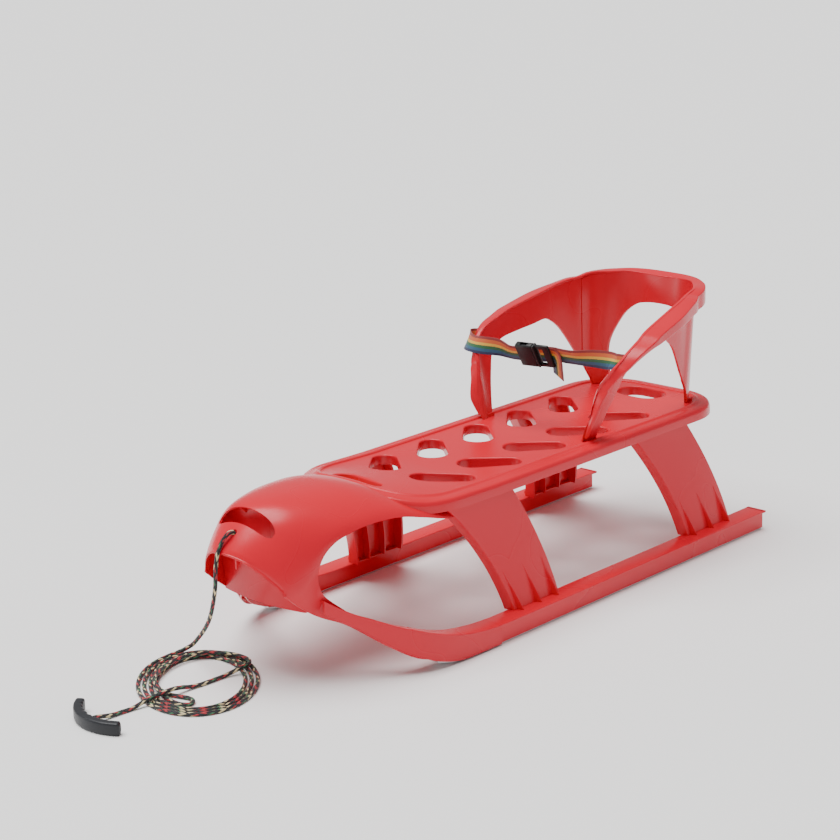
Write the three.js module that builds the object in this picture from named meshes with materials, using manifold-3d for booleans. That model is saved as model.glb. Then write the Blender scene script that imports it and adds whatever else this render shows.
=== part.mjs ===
// Baby pull sled, in millimetres: x runs across the sled, y along it with the nose towards -y, z up.
// The origin lies on the floor under the middle of the sled's box, measured without its rope.

import * as THREE from "three";
import { mergeVertices } from "three/addons/utils/BufferGeometryUtils.js";
import Module from "manifold-3d";

const wasm = await Module();
wasm.setup();

// Driving dimensions of the sled
const sled_length = 1000;
const track_width = 380;
const seat_height = 214;
const nose_rise = 40;
const nose_height = seat_height + nose_rise;
const plastic_wall = 3.6;
const seat_gap = 0.3;
const overrun = 6;

// A place given by its distance in front of the sled's rear end
const at = (x, from_rear, z) => new THREE.Vector3(x, sled_length / 2 - from_rear, z);
const lerp = THREE.MathUtils.lerp;
const both_sides = [-1, 1];

// A row of a table of shares, read between its stations
function row_at(rows, along) {
  const last = rows.length - 2;
  let i = 0;
  while (i < last && along > rows[i + 1][0]) i += 1;
  const part = (along - rows[i][0]) / (rows[i + 1][0] - rows[i][0]);
  return rows[i].map((value, k) => lerp(value, rows[i + 1][k], part));
}

// A body between like rings of points, capped at both ends or closed on itself
function loft(rings, closed = false) {
  const count = rings[0].length;
  const points = rings.flat();
  const index = [];
  const spans = closed ? rings.length : rings.length - 1;
  for (let i = 0; i < spans; i += 1) {
    const a = i * count;
    const b = ((i + 1) % rings.length) * count;
    for (let j = 0; j < count; j += 1) {
      const k = (j + 1) % count;
      index.push(a + j, a + k, b + k, a + j, b + k, b + j);
    }
  }
  if (!closed) {
    cap(rings[0], 0, index, true);
    cap(rings[rings.length - 1], points.length - count, index, false);
  }
  const geometry = new THREE.BufferGeometry().setFromPoints(points);
  geometry.setIndex(index);
  return geometry;
}

// Triangles that fill a ring, wound with it or against it. A ring that triangulates short of
// a point is a wall section, whose first half of points faces its second half.
function cap(ring, start, index, against) {
  const normal = new THREE.Vector3();
  ring.forEach((p, j) => normal.add(new THREE.Vector3().crossVectors(p, ring[(j + 1) % ring.length])));
  const size = normal.toArray().map(Math.abs);
  const drop = size.indexOf(Math.max(...size));
  const [u, v] = [0, 1, 2].filter((axis) => axis !== drop);
  const flat = ring.map((p) => new THREE.Vector2(p.getComponent(u), p.getComponent(v)));
  let triangles = THREE.ShapeUtils.triangulateShape(flat, []);
  let with_ring = true;
  if (triangles.length < ring.length - 2) {
    const last = ring.length - 1;
    triangles = [];
    for (let j = 0; j < ring.length / 2 - 1; j += 1) {
      triangles.push([j, j + 1, last - j - 1], [j, last - j - 1, last - j]);
    }
  } else {
    const area = triangles.reduce((sum, [a, b, c]) => sum + THREE.ShapeUtils.area([flat[a], flat[b], flat[c]]), 0);
    with_ring = Math.sign(area) === Math.sign(THREE.ShapeUtils.area(flat));
  }
  for (const [a, b, c] of triangles) {
    index.push(...(with_ring !== against ? [a, b, c] : [a, c, b]).map((n) => n + start));
  }
}

function signed_volume(position, index) {
  const [a, b, c] = [new THREE.Vector3(), new THREE.Vector3(), new THREE.Vector3()];
  let sum = 0;
  for (let i = 0; i < index.length; i += 3) {
    [a, b, c].forEach((p, k) => p.fromBufferAttribute(position, index[i + k]));
    sum += a.dot(b.cross(c));
  }
  return sum;
}

// A closed geometry as a solid for joining and cutting
function solid(geometry) {
  const bare = geometry.clone();
  bare.deleteAttribute("normal");
  bare.deleteAttribute("uv");
  const merged = mergeVertices(bare);
  const source = Array.from(merged.index.array);
  const kept = [];
  for (let i = 0; i < source.length; i += 3) {
    const [a, b, c] = source.slice(i, i + 3);
    if (a !== b && b !== c && c !== a) kept.push(a, b, c);
  }
  if (signed_volume(merged.attributes.position, kept) < 0) kept.reverse();
  return new wasm.Manifold(new wasm.Mesh({
    numProp: 3,
    vertProperties: new Float32Array(merged.attributes.position.array),
    triVerts: new Uint32Array(kept),
  }));
}

function geometry_of(manifold) {
  const mesh = manifold.getMesh();
  const geometry = new THREE.BufferGeometry();
  geometry.setAttribute("position", new THREE.Float32BufferAttribute(mesh.vertProperties, 3));
  geometry.setIndex(Array.from(mesh.triVerts));
  geometry.computeVertexNormals();
  return geometry;
}

const joined = (solids) => solids.reduce((sum, next) => sum.add(next));
const mirrored = (geometry) => geometry.clone().scale(-1, 1, 1);

// An outline in plan, from one height up to another
function upright_prism(shape, z_low, z_high, segments = 5) {
  const geometry = new THREE.ExtrudeGeometry(shape, {
    depth: z_high - z_low, bevelEnabled: false, curveSegments: segments,
  });
  return geometry.translate(0, 0, z_low);
}

// An outline in side view, from one side position to another
function side_prism(points, x_low, x_high) {
  const shape = new THREE.Shape(points.map(([from_rear, z]) => new THREE.Vector2(at(0, from_rear, z).y, z)));
  const geometry = new THREE.ExtrudeGeometry(shape, { depth: x_high - x_low, bevelEnabled: false });
  const turned = new THREE.Matrix4().makeBasis(
    new THREE.Vector3(0, 1, 0), new THREE.Vector3(0, 0, 1), new THREE.Vector3(1, 0, 0),
  );
  return geometry.applyMatrix4(turned).translate(x_low, 0, 0);
}

function block(x_size, y_size, z_size, centre) {
  return new THREE.BoxGeometry(x_size, y_size, z_size).translate(centre.x, centre.y, centre.z);
}

function upright_rod(radius, x, from_rear, z_low, z_high, sides = 12) {
  const rod = new THREE.CylinderGeometry(radius, radius, z_high - z_low, sides).rotateX(Math.PI / 2);
  const foot = at(x, from_rear, (z_low + z_high) / 2);
  return rod.translate(foot.x, foot.y, foot.z);
}

// Rails: a channel open downwards under a flange that overhangs it on both sides
const rail_top = 30.6;
const flange_width = 34.4;
const flange_thickness = 3.2;
const flange_overhang = 3.5;
const channel_width = 24;
const channel_wall = 3;
const strip_thickness = 2;
const rail_bottom = strip_thickness + seat_gap;
const rail_straight = 640;
const arm_reach = 265;
const arm_top_rise_share = 0.3441;
const arm_bottom_rise_share = 0.3622;
const arm_top_rise = arm_top_rise_share * nose_height;
const arm_bottom_rise = arm_bottom_rise_share * nose_height;
const flange_rear_overhang = 4;

// Along the front arm: half width, rise of its top, rise of its bottom, flange width, channel width
const arm_shares = [
  [0, 1, 0, 0, 1, 1],
  [0.16, 1, 0.03, 0, 1, 1],
  [0.35, 0.99, 0.12, 0.005, 0.93, 1],
  [0.49, 0.968, 0.235, 0.09, 0.87, 0.95],
  [0.6, 0.925, 0.36, 0.22, 0.79, 0.86],
  [0.7, 0.845, 0.475, 0.375, 0.7, 0.75],
  [0.79, 0.745, 0.61, 0.58, 0.6, 0.62],
  [0.875, 0.65, 0.735, 0.78, 0.5, 0.5],
  [0.945, 0.565, 0.87, 0.93, 0.42, 0.42],
  [1, 0.49, 1, 1.04, 0.36, 0.36],
];

// The rail's sizes at one station in front of the rear end
function rail_at(from_rear) {
  const along = THREE.MathUtils.clamp((from_rear - rail_straight) / arm_reach, 0, 1);
  const [, half, top, bottom, flange, channel] = row_at(arm_shares, along);
  return {
    outer: half * track_width / 2,
    top: rail_top + top * arm_top_rise,
    bottom: rail_bottom + bottom * arm_bottom_rise,
    flange: flange * flange_width,
    channel: channel * channel_width,
  };
}

function rail_ring(from_rear) {
  const rail = rail_at(from_rear);
  const under = rail.top - flange_thickness;
  const wall_out = rail.outer - flange_overhang;
  const wall_in = wall_out - rail.channel;
  return [
    [rail.outer, rail.top], [rail.outer, under], [wall_out, under], [wall_out, rail.bottom],
    [wall_out - channel_wall, rail.bottom], [wall_out - channel_wall, under],
    [wall_in + channel_wall, under], [wall_in + channel_wall, rail.bottom],
    [wall_in, rail.bottom], [wall_in, under],
    [rail.outer - rail.flange, under], [rail.outer - rail.flange, rail.top],
  ].map(([x, z]) => at(x, from_rear, z));
}

const rail_centre = track_width / 2 - flange_overhang - channel_width / 2;
const arm_stations = arm_shares.map(([along]) => rail_straight + along * arm_reach);

// Screws that hold each runner, evenly spread along the straight part of its rail
const screw_count = 4;
const first_screw = 34;
const last_screw = 620;
const screw_radius = 1.9;
const screw_head_radius = 3.8;
const screw_head_depth = 1.6;
const screw_length = 16;
const screw_clearance = 0.3;
const boss_radius = 4.8;
const screw_places = Array.from({ length: screw_count },
  (_, i) => lerp(first_screw, last_screw, i / (screw_count - 1)));

function rail() {
  const run = loft([flange_rear_overhang, ...arm_stations].map(rail_ring));
  const tongue_length = flange_rear_overhang + overrun;
  const tongue = block(flange_width, tongue_length, flange_thickness,
    at(track_width / 2 - flange_width / 2, tongue_length / 2, rail_top - flange_thickness / 2));
  const bosses = screw_places.map((place) => solid(
    upright_rod(boss_radius, rail_centre, place, rail_bottom, rail_top - flange_thickness / 2)));
  const bores = screw_places.map((place) => solid(upright_rod(
    screw_radius + screw_clearance, rail_centre, place, 0, screw_length + 2 * seat_gap)));
  return joined([solid(run), solid(tongue), ...bosses]).subtract(joined(bores));
}

// Nose hood: an arched shell from under the deck's front edge to the lip
const hood_start = 690;
const hood_half_width = 137;
const nose_bow = 35;
const hood_arch_power = 2.4;
const hood_wall_steps = 3;
const hood_arch_steps = 12;

// Along the crown: half width, shoulder height, crown height, bottom half width, bottom height,
// how far the crown runs ahead of the sides, and how round the arch is
const hood_shares = [
  [-0.08, 0.955, 0.75, 0.811, 1, 0.035, 0, 1],
  [0, 0.975, 0.764, 0.811, 1, 0.035, 0, 1],
  [0.161, 0.905, 0.811, 0.88, 0.989, 0.038, 0, 1],
  [0.252, 0.857, 0.837, 0.94, 0.97, 0.055, 0, 1],
  [0.371, 0.814, 0.85, 0.978, 0.922, 0.094, 0, 1],
  [0.484, 0.781, 0.847, 0.992, 0.79, 0.185, 0, 1],
  [0.594, 0.752, 0.827, 0.994, 0.585, 0.295, 0.06, 1.1],
  [0.694, 0.719, 0.768, 0.99, 0.45, 0.352, 0.2, 1.3],
  [0.784, 0.693, 0.661, 0.976, 0.44, 0.411, 0.34, 1.6],
  [0.839, 0.672, 0.598, 0.95, 0.437, 0.448, 0.49, 1.7],
  [0.894, 0.642, 0.565, 0.89, 0.434, 0.486, 0.63, 1.65],
  [0.952, 0.605, 0.568, 0.822, 0.432, 0.522, 0.83, 1.35],
  [1, 0.563, 0.571, 0.757, 0.429, 0.547, 1, 1],
];

function hood_ring(row) {
  const [along, half, shoulder, crown, foot, foot_height, bow, round] = row;
  const x_shoulder = half * hood_half_width;
  const z_shoulder = shoulder * nose_height;
  const z_crown = crown * nose_height;
  const x_foot = foot * (track_width / 2 - flange_overhang);
  const z_foot = foot_height * nose_height;
  const outer = [];
  for (let i = 0; i < hood_wall_steps; i += 1) {
    const part = i / hood_wall_steps;
    outer.push([lerp(x_foot, x_shoulder, part), lerp(z_foot, z_shoulder, part)]);
  }
  for (let i = 0; i <= hood_arch_steps; i += 1) {
    const t = Math.cos(Math.PI * i / hood_arch_steps);
    const lift = Math.max(0, 1 - Math.abs(t) ** hood_arch_power) ** (1 / round);
    outer.push([t * x_shoulder, lerp(z_shoulder, z_crown, lift)]);
  }
  for (let i = hood_wall_steps - 1; i >= 0; i -= 1) outer.push([-outer[i][0], outer[i][1]]);
  const inner = outer.map(([x, z], i) => {
    const [ax, az] = outer[Math.max(i - 1, 0)];
    const [bx, bz] = outer[Math.min(i + 1, outer.length - 1)];
    const along_ring = Math.hypot(bx - ax, bz - az);
    return [x - plastic_wall * (az - bz) / -along_ring, z + plastic_wall * (bx - ax) / along_ring];
  });
  return [...outer, ...inner.reverse()].map(([x, z]) => {
    const lag = bow * nose_bow * Math.min(1, Math.abs(x) / x_shoulder) ** 2;
    return at(x, hood_start + along * (sled_length - hood_start) - lag, z);
  });
}

// Side windows between the hood and the arms, as shares of the hood's run and of the nose height
const window_shares = [
  [0, 0.74], [0.161, 0.787], [0.258, 0.815], [0.371, 0.827], [0.484, 0.823], [0.561, 0.807],
  [0.629, 0.78], [0.694, 0.717], [0.719, 0.65], [0.716, 0.583], [0.684, 0.496], [0.6, 0.386],
  [0.516, 0.276], [0.355, 0.17], [0.135, 0.085], [0, 0.06],
];
const window_reach = 40;

// Hand slot and rope hole in the nose, placed along the crown
const slot_setback = 42;
const slot_height_share = 0.9232;
const slot_width = 106;
const slot_opening = 25;
const slot_droop = 11;
const slot_steps = 14;
const slot_tilt_share = 0.26;
const rope_diameter = 6;
const hole_setback = 22;
const hole_height_share = 0.8504;
const hole_radius = 4.5;
const hole_tilt_share = 0.24;
const nose_rib_spacing = 40;
const nose_rib_thickness = 3;
const nose_rib_depth = 14;
const nose_rib_start_share = 0.45;
const inner_wall_share = 0.8;
const inner_wall_foot_share = 0.465;
const nose_cutter_reach = 34;
const slot_place = sled_length - slot_setback;
const slot_height = slot_height_share * nose_height;
const hole_place = sled_length - hole_setback;
const hole_height = hole_height_share * nose_height;

// A cutter across the nose's skin, turned to face forwards and up by a share of half a turn
function nose_cutter(shape, place, height, tilt_share) {
  const geometry = new THREE.ExtrudeGeometry(shape, {
    depth: nose_cutter_reach, bevelEnabled: false, curveSegments: 6,
  });
  geometry.translate(0, 0, -nose_cutter_reach / 2).rotateX(tilt_share * Math.PI);
  const centre = at(0, place, height);
  return geometry.translate(centre.x, centre.y, centre.z);
}

// A slot with round ends that droop below its middle
function hand_slot_shape() {
  const edge = (sign) => Array.from({ length: slot_steps + 1 }, (_, i) => {
    const across = -sign * Math.cos(Math.PI * i / slot_steps);
    const half = slot_opening / 2 * Math.sqrt(Math.max(0, 1 - across ** 6));
    return new THREE.Vector2(across * slot_width / 2, sign * half - slot_droop * across ** 2);
  });
  return new THREE.Shape([...edge(-1), ...edge(1).slice(1, -1)]);
}

// The hood's outer face at one side position, as places and heights from the ribs' start to the lip
function hood_line(x) {
  const front_rows = hood_shares.filter(([along]) => along > nose_rib_start_share);
  return front_rows.map(([along, half, shoulder, crown, , , bow, round]) => {
    const across = Math.abs(x) / (half * hood_half_width);
    const lift = (1 - across ** hood_arch_power) ** (1 / round);
    const place = hood_start + along * (sled_length - hood_start) - bow * nose_bow * across ** 2;
    return [place, lerp(shoulder, crown, lift) * nose_height];
  });
}

// The wall inside the nose behind the hand slot, bowed like the lip, from one cheek to the other
function inner_wall() {
  const [along, half, shoulder, crown, foot, , bow, round] = row_at(hood_shares, inner_wall_share);
  const x_shoulder = half * hood_half_width - plastic_wall / 2;
  const x_foot = foot * (track_width / 2 - flange_overhang) - plastic_wall / 2;
  const arch = Array.from({ length: hood_arch_steps + 1 }, (_, i) => {
    const t = Math.cos(Math.PI * i / hood_arch_steps);
    const lift = Math.max(0, 1 - Math.abs(t) ** hood_arch_power) ** (1 / round);
    return [t * x_shoulder, lerp(shoulder, crown, lift) * nose_height - plastic_wall / 2];
  });
  const z_foot = inner_wall_foot_share * nose_height;
  const face = (back) => [[x_foot, z_foot], ...arch, [-x_foot, z_foot]].map(([x, z]) => {
    const lag = bow * nose_bow * Math.min(1, Math.abs(x) / x_shoulder) ** 2;
    return at(x, hood_start + along * (sled_length - hood_start) - lag - back, z);
  });
  return solid(loft([face(0), face(nose_rib_thickness)]));
}

function hood() {
  const shell = solid(loft(hood_shares.map(hood_ring)));
  const span = sled_length - hood_start;
  const outline = window_shares.map(([along, height]) => [hood_start + along * span, height * nose_height]);
  outline[0][0] -= window_reach;
  outline[outline.length - 1][0] -= window_reach;
  const windows = solid(side_prism(outline, -track_width, track_width));
  const hand_slot = solid(nose_cutter(hand_slot_shape(), slot_place, slot_height, slot_tilt_share));
  const hole = new THREE.Shape().absarc(0, 0, hole_radius, 0, 2 * Math.PI);
  const rope_hole = solid(nose_cutter(hole, hole_place, hole_height, hole_tilt_share));
  const ribs = both_sides.map((side) => {
    const x = side * nose_rib_spacing / 2;
    const crown = hood_line(x);
    const outline = [
      ...crown.map(([place, z]) => [place, z - plastic_wall / 2]),
      ...crown.map(([place, z]) => [place, z - plastic_wall - nose_rib_depth]).reverse(),
    ];
    return solid(side_prism(outline, x - nose_rib_thickness / 2, x + nose_rib_thickness / 2));
  });
  return joined([shell.subtract(windows), ...ribs, inner_wall()]).subtract(joined([hand_slot, rope_hole]));
}

// Deck: a plate inside a rolled rim whose skirt hangs down all round
const deck_rear = 16;
const deck_front = 781;
const deck_half_width = 134;
const rear_corner = 90;
const front_corner = 108;
const deck_outline_steps = 50;
const front_rise = 21.6;
const front_rise_start = 590;
const front_rise_power = 1.3;
const front_fall_share = 0.75;
const plate_inset = 22.5;
const rim_rise = 2.5;
const rim_inset = 16;
const skirt_depth = 18;
const plate_lanes = 8;

// The seat rises towards the nose, most along its middle
function seat_rise(x, from_rear) {
  const along = Math.max(0, from_rear - front_rise_start) / (deck_front - rim_inset - front_rise_start);
  const across = 1 - front_fall_share * Math.min(1, Math.abs(x) / (deck_half_width - rim_inset)) ** 2;
  return front_rise * along ** front_rise_power * across;
}

const lifted = (x, from_rear, z) => at(x, from_rear, z + seat_rise(x, from_rear));

function deck_outline(inset) {
  const x = deck_half_width - inset;
  const rear = deck_rear + inset;
  const front = deck_front - inset;
  const r = rear_corner - inset;
  const f = front_corner - inset;
  const y = (from_rear) => at(0, from_rear, 0).y;
  const path = new THREE.Shape();
  path.absarc(x - r, y(rear + r), r, 0, Math.PI / 2);
  path.absarc(-(x - r), y(rear + r), r, Math.PI / 2, Math.PI);
  path.absarc(-(x - f), y(front - f), f, Math.PI, 3 * Math.PI / 2);
  path.absarc(x - f, y(front - f), f, 3 * Math.PI / 2, 2 * Math.PI);
  path.closePath();
  return path;
}

// Rim section: shares of the rim's inset inwards, and of its rise or the skirt's depth up or down
const rim_shares = [
  [0, -1], [0.1, -0.64], [0.34, -0.32], [0.72, -0.13], [1.1, 0.1], [1.45, 1], [1.62, 0.8], [1.72, -0.09],
];

function deck_rim() {
  const outer = rim_shares.map(([inward, up]) =>
    [inward * rim_inset, up < 0 ? up * skirt_depth : up * rim_rise]);
  const inner = outer.map(([inward, up], i) => {
    const [ax, az] = outer[Math.max(i - 1, 0)];
    const [bx, bz] = outer[Math.min(i + 1, outer.length - 1)];
    const run = Math.hypot(bx - ax, bz - az);
    return [inward + plastic_wall * (bz - az) / run, up - plastic_wall * (bx - ax) / run];
  });
  const section = [...outer, ...inner.reverse()];
  const places = deck_outline(0).getSpacedPoints(deck_outline_steps).slice(0, -1);
  const rings = places.map((place, i) => {
    const before = places[(i + places.length - 1) % places.length];
    const after = places[(i + 1) % places.length];
    const run = new THREE.Vector2().subVectors(after, before).normalize();
    return section.map(([inward, up]) => {
      const x = place.x - run.y * inward;
      const y = place.y + run.x * inward;
      return lifted(x, sled_length / 2 - y, seat_height + up);
    });
  });
  return solid(loft(rings, true));
}

const plate_station_shares = [0, 0.75, 0.79, 0.83, 0.87, 0.91, 0.955, 1];

function deck_plate() {
  const half = deck_half_width - plate_inset + overrun;
  const rings = plate_station_shares.map((share) => {
    const from_rear = lerp(deck_rear, deck_front, share);
    const lane = (i) => lerp(-half, half, i / plate_lanes);
    const lanes = Array.from({ length: plate_lanes + 1 }, (_, i) => lane(i));
    return [
      ...lanes.map((x) => lifted(x, from_rear, seat_height)),
      ...lanes.reverse().map((x) => lifted(x, from_rear, seat_height - plastic_wall)),
    ];
  });
  const outline = upright_prism(deck_outline(plate_inset), seat_height - 2 * skirt_depth,
    seat_height + front_rise + skirt_depth, 12);
  return solid(loft(rings)).intersect(solid(outline));
}

// Drain holes in the deck: slanted drops in two rows, and one oval at each end of the middle line
const drop_pitch = 102.7;
const first_drop = 211;
const drop_count = 5;
const drop_inner_x = 40;
const drop_outer_x = 77;
const drop_slant = 19;
const drop_big_radius = 23;
const drop_small_radius = 18.5;
const rear_oval_place = 80;
const rear_oval_width = 84;
const rear_oval_length = 54;
const front_oval_place = 738;
const front_oval_width = 88;
const front_oval_length = 27;
const collar_wall = 2.6;
const collar_depth = 15;

// The outline round two discs of different size
function drop_shape(first, first_radius, second, second_radius) {
  const turn = Math.atan2(second.y - first.y, second.x - first.x);
  const open = Math.acos((first_radius - second_radius) / first.distanceTo(second));
  const shape = new THREE.Shape();
  shape.absarc(first.x, first.y, first_radius, turn + open, turn - open + 2 * Math.PI);
  shape.absarc(second.x, second.y, second_radius, turn - open, turn + open);
  return shape;
}

const plan = (x, from_rear) => new THREE.Vector2(x, at(0, from_rear, 0).y);
const drops = [];
for (let i = 0; i < drop_count; i += 1) {
  const place = first_drop + i * drop_pitch;
  for (const side of both_sides) {
    drops.push({
      place,
      shape: (grow) => drop_shape(
        plan(side * drop_inner_x, place + drop_slant), drop_big_radius + grow,
        plan(side * drop_outer_x, place - drop_slant), drop_small_radius + grow),
    });
  }
}
for (const [place, width, length] of [
  [rear_oval_place, rear_oval_width, rear_oval_length],
  [front_oval_place, front_oval_width, front_oval_length],
]) {
  const reach = (width - length) / 2;
  drops.push({
    place,
    shape: (grow) => drop_shape(plan(reach, place), length / 2 + grow, plan(-reach, place), length / 2 + grow),
  });
}

// Legs: channels open inwards that lean forwards and in from the rails to the deck
const leg_seat_drop = 7;
const leg_top = seat_height - leg_seat_drop;
const leg_top_x = 130.5;
const leg_flare = 36.5;
const leg_flare_power = 1.15;
const leg_wall_depth = 20;
const leg_steps = 6;
const lean_straight_share = 0.35;
const rear_leg_place = 67;
const rear_leg_length = 112;
const rear_leg_front_lean = 94;
const rear_leg_rear_lean = 75;
const front_leg_place = 496;
const front_leg_length = 101;
const front_leg_front_lean = 105.5;
const front_leg_rear_lean = 65.5;
const leg_rib_rise = 58;
const leg_rib_reach = 10;
const leg_rib_width = 8;
const leg_rib_middle_share = 0.75;
const leg_rib_places_share = [0.12, 0.5, 0.9];
const leg_inner_rib_thickness = 3;
const leg_inner_rib_depth = 12;
const leg_inner_ribs_share = [0.35, 0.68];

const legs = [
  {
    base: rear_leg_place, length: rear_leg_length,
    front_lean: rear_leg_front_lean, rear_lean: rear_leg_rear_lean,
  },
  {
    base: front_leg_place, length: front_leg_length,
    front_lean: front_leg_front_lean, rear_lean: front_leg_rear_lean,
  },
];
const leg_height = leg_top - rail_top;
const lean = (share) => lean_straight_share * share + (1 - lean_straight_share) * share ** 2;
const leg_face = (share) => leg_top_x + leg_flare * (1 - share) ** leg_flare_power;

function leg_rings(leg, section) {
  return Array.from({ length: leg_steps + 1 }, (_, i) => {
    const share = i / leg_steps;
    const z = lerp(rail_top - flange_thickness / 2, leg_top, share);
    const front = leg.base + leg.length + leg.front_lean * lean(share);
    const rear = leg.base + leg.rear_lean * lean(share);
    return section(leg_face(share), front, rear).map(([x, from_rear]) => at(x, from_rear, z));
  });
}

function leg_channel(x, front, rear) {
  return [
    [x, front], [x, rear], [x - leg_wall_depth, rear], [x - leg_wall_depth, rear + plastic_wall],
    [x - plastic_wall, rear + plastic_wall], [x - plastic_wall, front - plastic_wall],
    [x - leg_wall_depth, front - plastic_wall], [x - leg_wall_depth, front],
  ];
}

// A rib inside the channel, at a share of the way from its rear wall to its front wall
function leg_inner_rib(share) {
  return (x, front, rear) => {
    const place = lerp(rear, front, share);
    const half = leg_inner_rib_thickness / 2;
    const back = x - plastic_wall / 2;
    const face = x - plastic_wall - leg_inner_rib_depth;
    return [[back, place + half], [back, place - half], [face, place - half], [face, place + half]];
  };
}

// A gusset on the outer face, widest on the rail and running out higher up
function leg_gusset(leg, share) {
  const ring = (z, reach, half) => {
    const up = (z - rail_top) / leg_height;
    const face = leg_face(Math.max(up, 0));
    const front = leg.base + leg.length + leg.front_lean * lean(Math.max(up, 0));
    const rear = leg.base + leg.rear_lean * lean(Math.max(up, 0));
    const place = lerp(rear, front, share);
    return [
      at(face - plastic_wall / 2, place + half, z), at(face + reach, place + half / 2, z),
      at(face + reach, place - half / 2, z), at(face - plastic_wall / 2, place - half, z),
    ];
  };
  const half = leg_rib_width / 2;
  return loft([
    ring(rail_top - flange_thickness / 2, leg_rib_reach, half),
    ring(rail_top + leg_rib_rise / 2, leg_rib_reach / 2, half * leg_rib_middle_share),
    ring(rail_top + leg_rib_rise, 0, half / 2),
  ]);
}

function leg_solids(leg) {
  return [
    loft(leg_rings(leg, leg_channel)),
    ...leg_inner_ribs_share.map((share) => loft(leg_rings(leg, leg_inner_rib(share)))),
    ...leg_rib_places_share.map((share) => leg_gusset(leg, share)),
  ];
}

// Backrest: a wall bent round three sides of the seat, standing on four feet
const backrest_wall = 4;
const backrest_rise = 188;
const backrest_foot = seat_height + seat_gap;
const backrest_half_width = 140;
const backrest_front = 356;
const brim_depth = 7;
const brim_clearance = 3;

// From the front of an arm to the middle of the back: the wall's foot across and along, its rim
// across, along and up, and the brim's outer edge across, along and up, as shares of the sizes above
const backrest_shares = [
  [0.686, 1, 0.714, 1, 0.041, 0.771, 1.003, 0.041],
  [0.689, 0.992, 0.75, 0.992, 0.126, 0.829, 1.012, 0.126],
  [0.693, 0.983, 0.779, 0.983, 0.201, 0.871, 1.01, 0.201],
  [0.7, 0.975, 0.804, 0.975, 0.323, 0.921, 0.983, 0.323],
  [0.711, 0.961, 0.836, 0.961, 0.429, 0.975, 0.961, 0.429],
  [0.712, 0.949, 0.886, 0.949, 0.504, 1.025, 0.938, 0.504],
  [0.715, 0.93, 0.943, 0.93, 0.573, 1.075, 0.902, 0.568],
  [0.72, 0.896, 0.986, 0.896, 0.637, 1.114, 0.86, 0.631],
  [0.725, 0.851, 1, 0.851, 0.701, 1.136, 0.806, 0.695],
  [0.73, 0.767, 0.979, 0.767, 0.764, 1.143, 0.722, 0.759],
  [0.75, 0.669, 0.936, 0.669, 0.828, 1.107, 0.624, 0.82],
  [0.736, 0.517, 0.879, 0.517, 0.9, 1.029, 0.478, 0.9],
  [0.714, 0.393, 0.829, 0.385, 0.94, 0.95, 0.351, 0.94],
  [0.7, 0.315, 0.8, 0.275, 0.967, 0.882, 0.247, 0.965],
  [0.671, 0.258, 0.757, 0.18, 0.988, 0.811, 0.152, 0.982],
  [0.586, 0.197, 0.657, 0.112, 0.999, 0.697, 0.083, 0.993],
  [0.443, 0.163, 0.5, 0.073, 0.999, 0.525, 0.04, 0.994],
  [0.243, 0.152, 0.271, 0.056, 0.999, 0.284, 0.022, 0.994],
];
const backrest_middle_shares = [0, 0.149, 0, 0.053, 0.999, 0, 0.018, 0.994];
const panel_start = 6;

// A place by the backrest, as shares of its half width, its length and its rise above the seat
const on_backrest = (x, along, up) =>
  at(x * backrest_half_width, along * backrest_front, backrest_foot + up * backrest_rise);

const backrest_rows = [
  ...backrest_shares,
  backrest_middle_shares,
  ...backrest_shares.map(([bx, bd, rx, rd, rz, ox, od, oz]) => [-bx, bd, -rx, rd, rz, -ox, od, oz]).reverse(),
].map(([base_x, base_place, rim_x, rim_place, rim_up, edge_x, edge_place, edge_up]) => ({
  base: on_backrest(base_x, base_place, 0),
  rim: on_backrest(rim_x, rim_place, rim_up),
  edge: on_backrest(edge_x, edge_place, edge_up),
}));

// Outward direction of the wall in plan at one row, from the rows beside it
function wall_outward(i, key) {
  const before = backrest_rows[Math.max(i - 1, 0)][key];
  const after = backrest_rows[Math.min(i + 1, backrest_rows.length - 1)][key];
  const run = new THREE.Vector3().subVectors(after, before).setZ(0).normalize();
  return new THREE.Vector3(run.y, -run.x, 0);
}

function backrest_wall_ring(row, i) {
  const foot_out = wall_outward(i, "base").multiplyScalar(backrest_wall);
  const rim_out = wall_outward(i, "rim").multiplyScalar(backrest_wall);
  const heights = [0, 0.35, 0.7, 1];
  const inner = heights.map((share) => row.base.clone().lerp(row.rim, share));
  const outer = heights.map((share) => inner[heights.indexOf(share)].clone()
    .add(foot_out.clone().lerp(rim_out, share)));
  return [...inner, ...outer.reverse()];
}

// The brim runs from the wall's rim to its outer edge and turns back along the panel
function backrest_brim_ring(row, i) {
  const last = backrest_rows.length - 1;
  const before = backrest_rows[Math.max(i - 1, 0)].rim;
  const after = backrest_rows[Math.min(i + 1, last)].rim;
  const run = new THREE.Vector3().subVectors(after, before).normalize();
  const panel = backrest_rows[THREE.MathUtils.clamp(i, panel_start, last - panel_start)];
  const inwards = panel.base.clone().lerp(panel.rim, 0.5).sub(row.rim);
  const out = new THREE.Vector3().subVectors(row.edge, row.rim);
  out.addScaledVector(run, -out.dot(run));
  const width = out.length();
  out.normalize();
  const away = new THREE.Vector3().crossVectors(out, run).normalize();
  if (away.dot(inwards) > 0) away.negate();
  return [
    [0, 0], [width, 0], [width, -brim_depth], [width - plastic_wall, -brim_depth],
    [width - plastic_wall, -plastic_wall], [0, -plastic_wall],
  ].map(([across, up]) => row.rim.clone().addScaledVector(out, across).addScaledVector(away, up));
}

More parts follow.
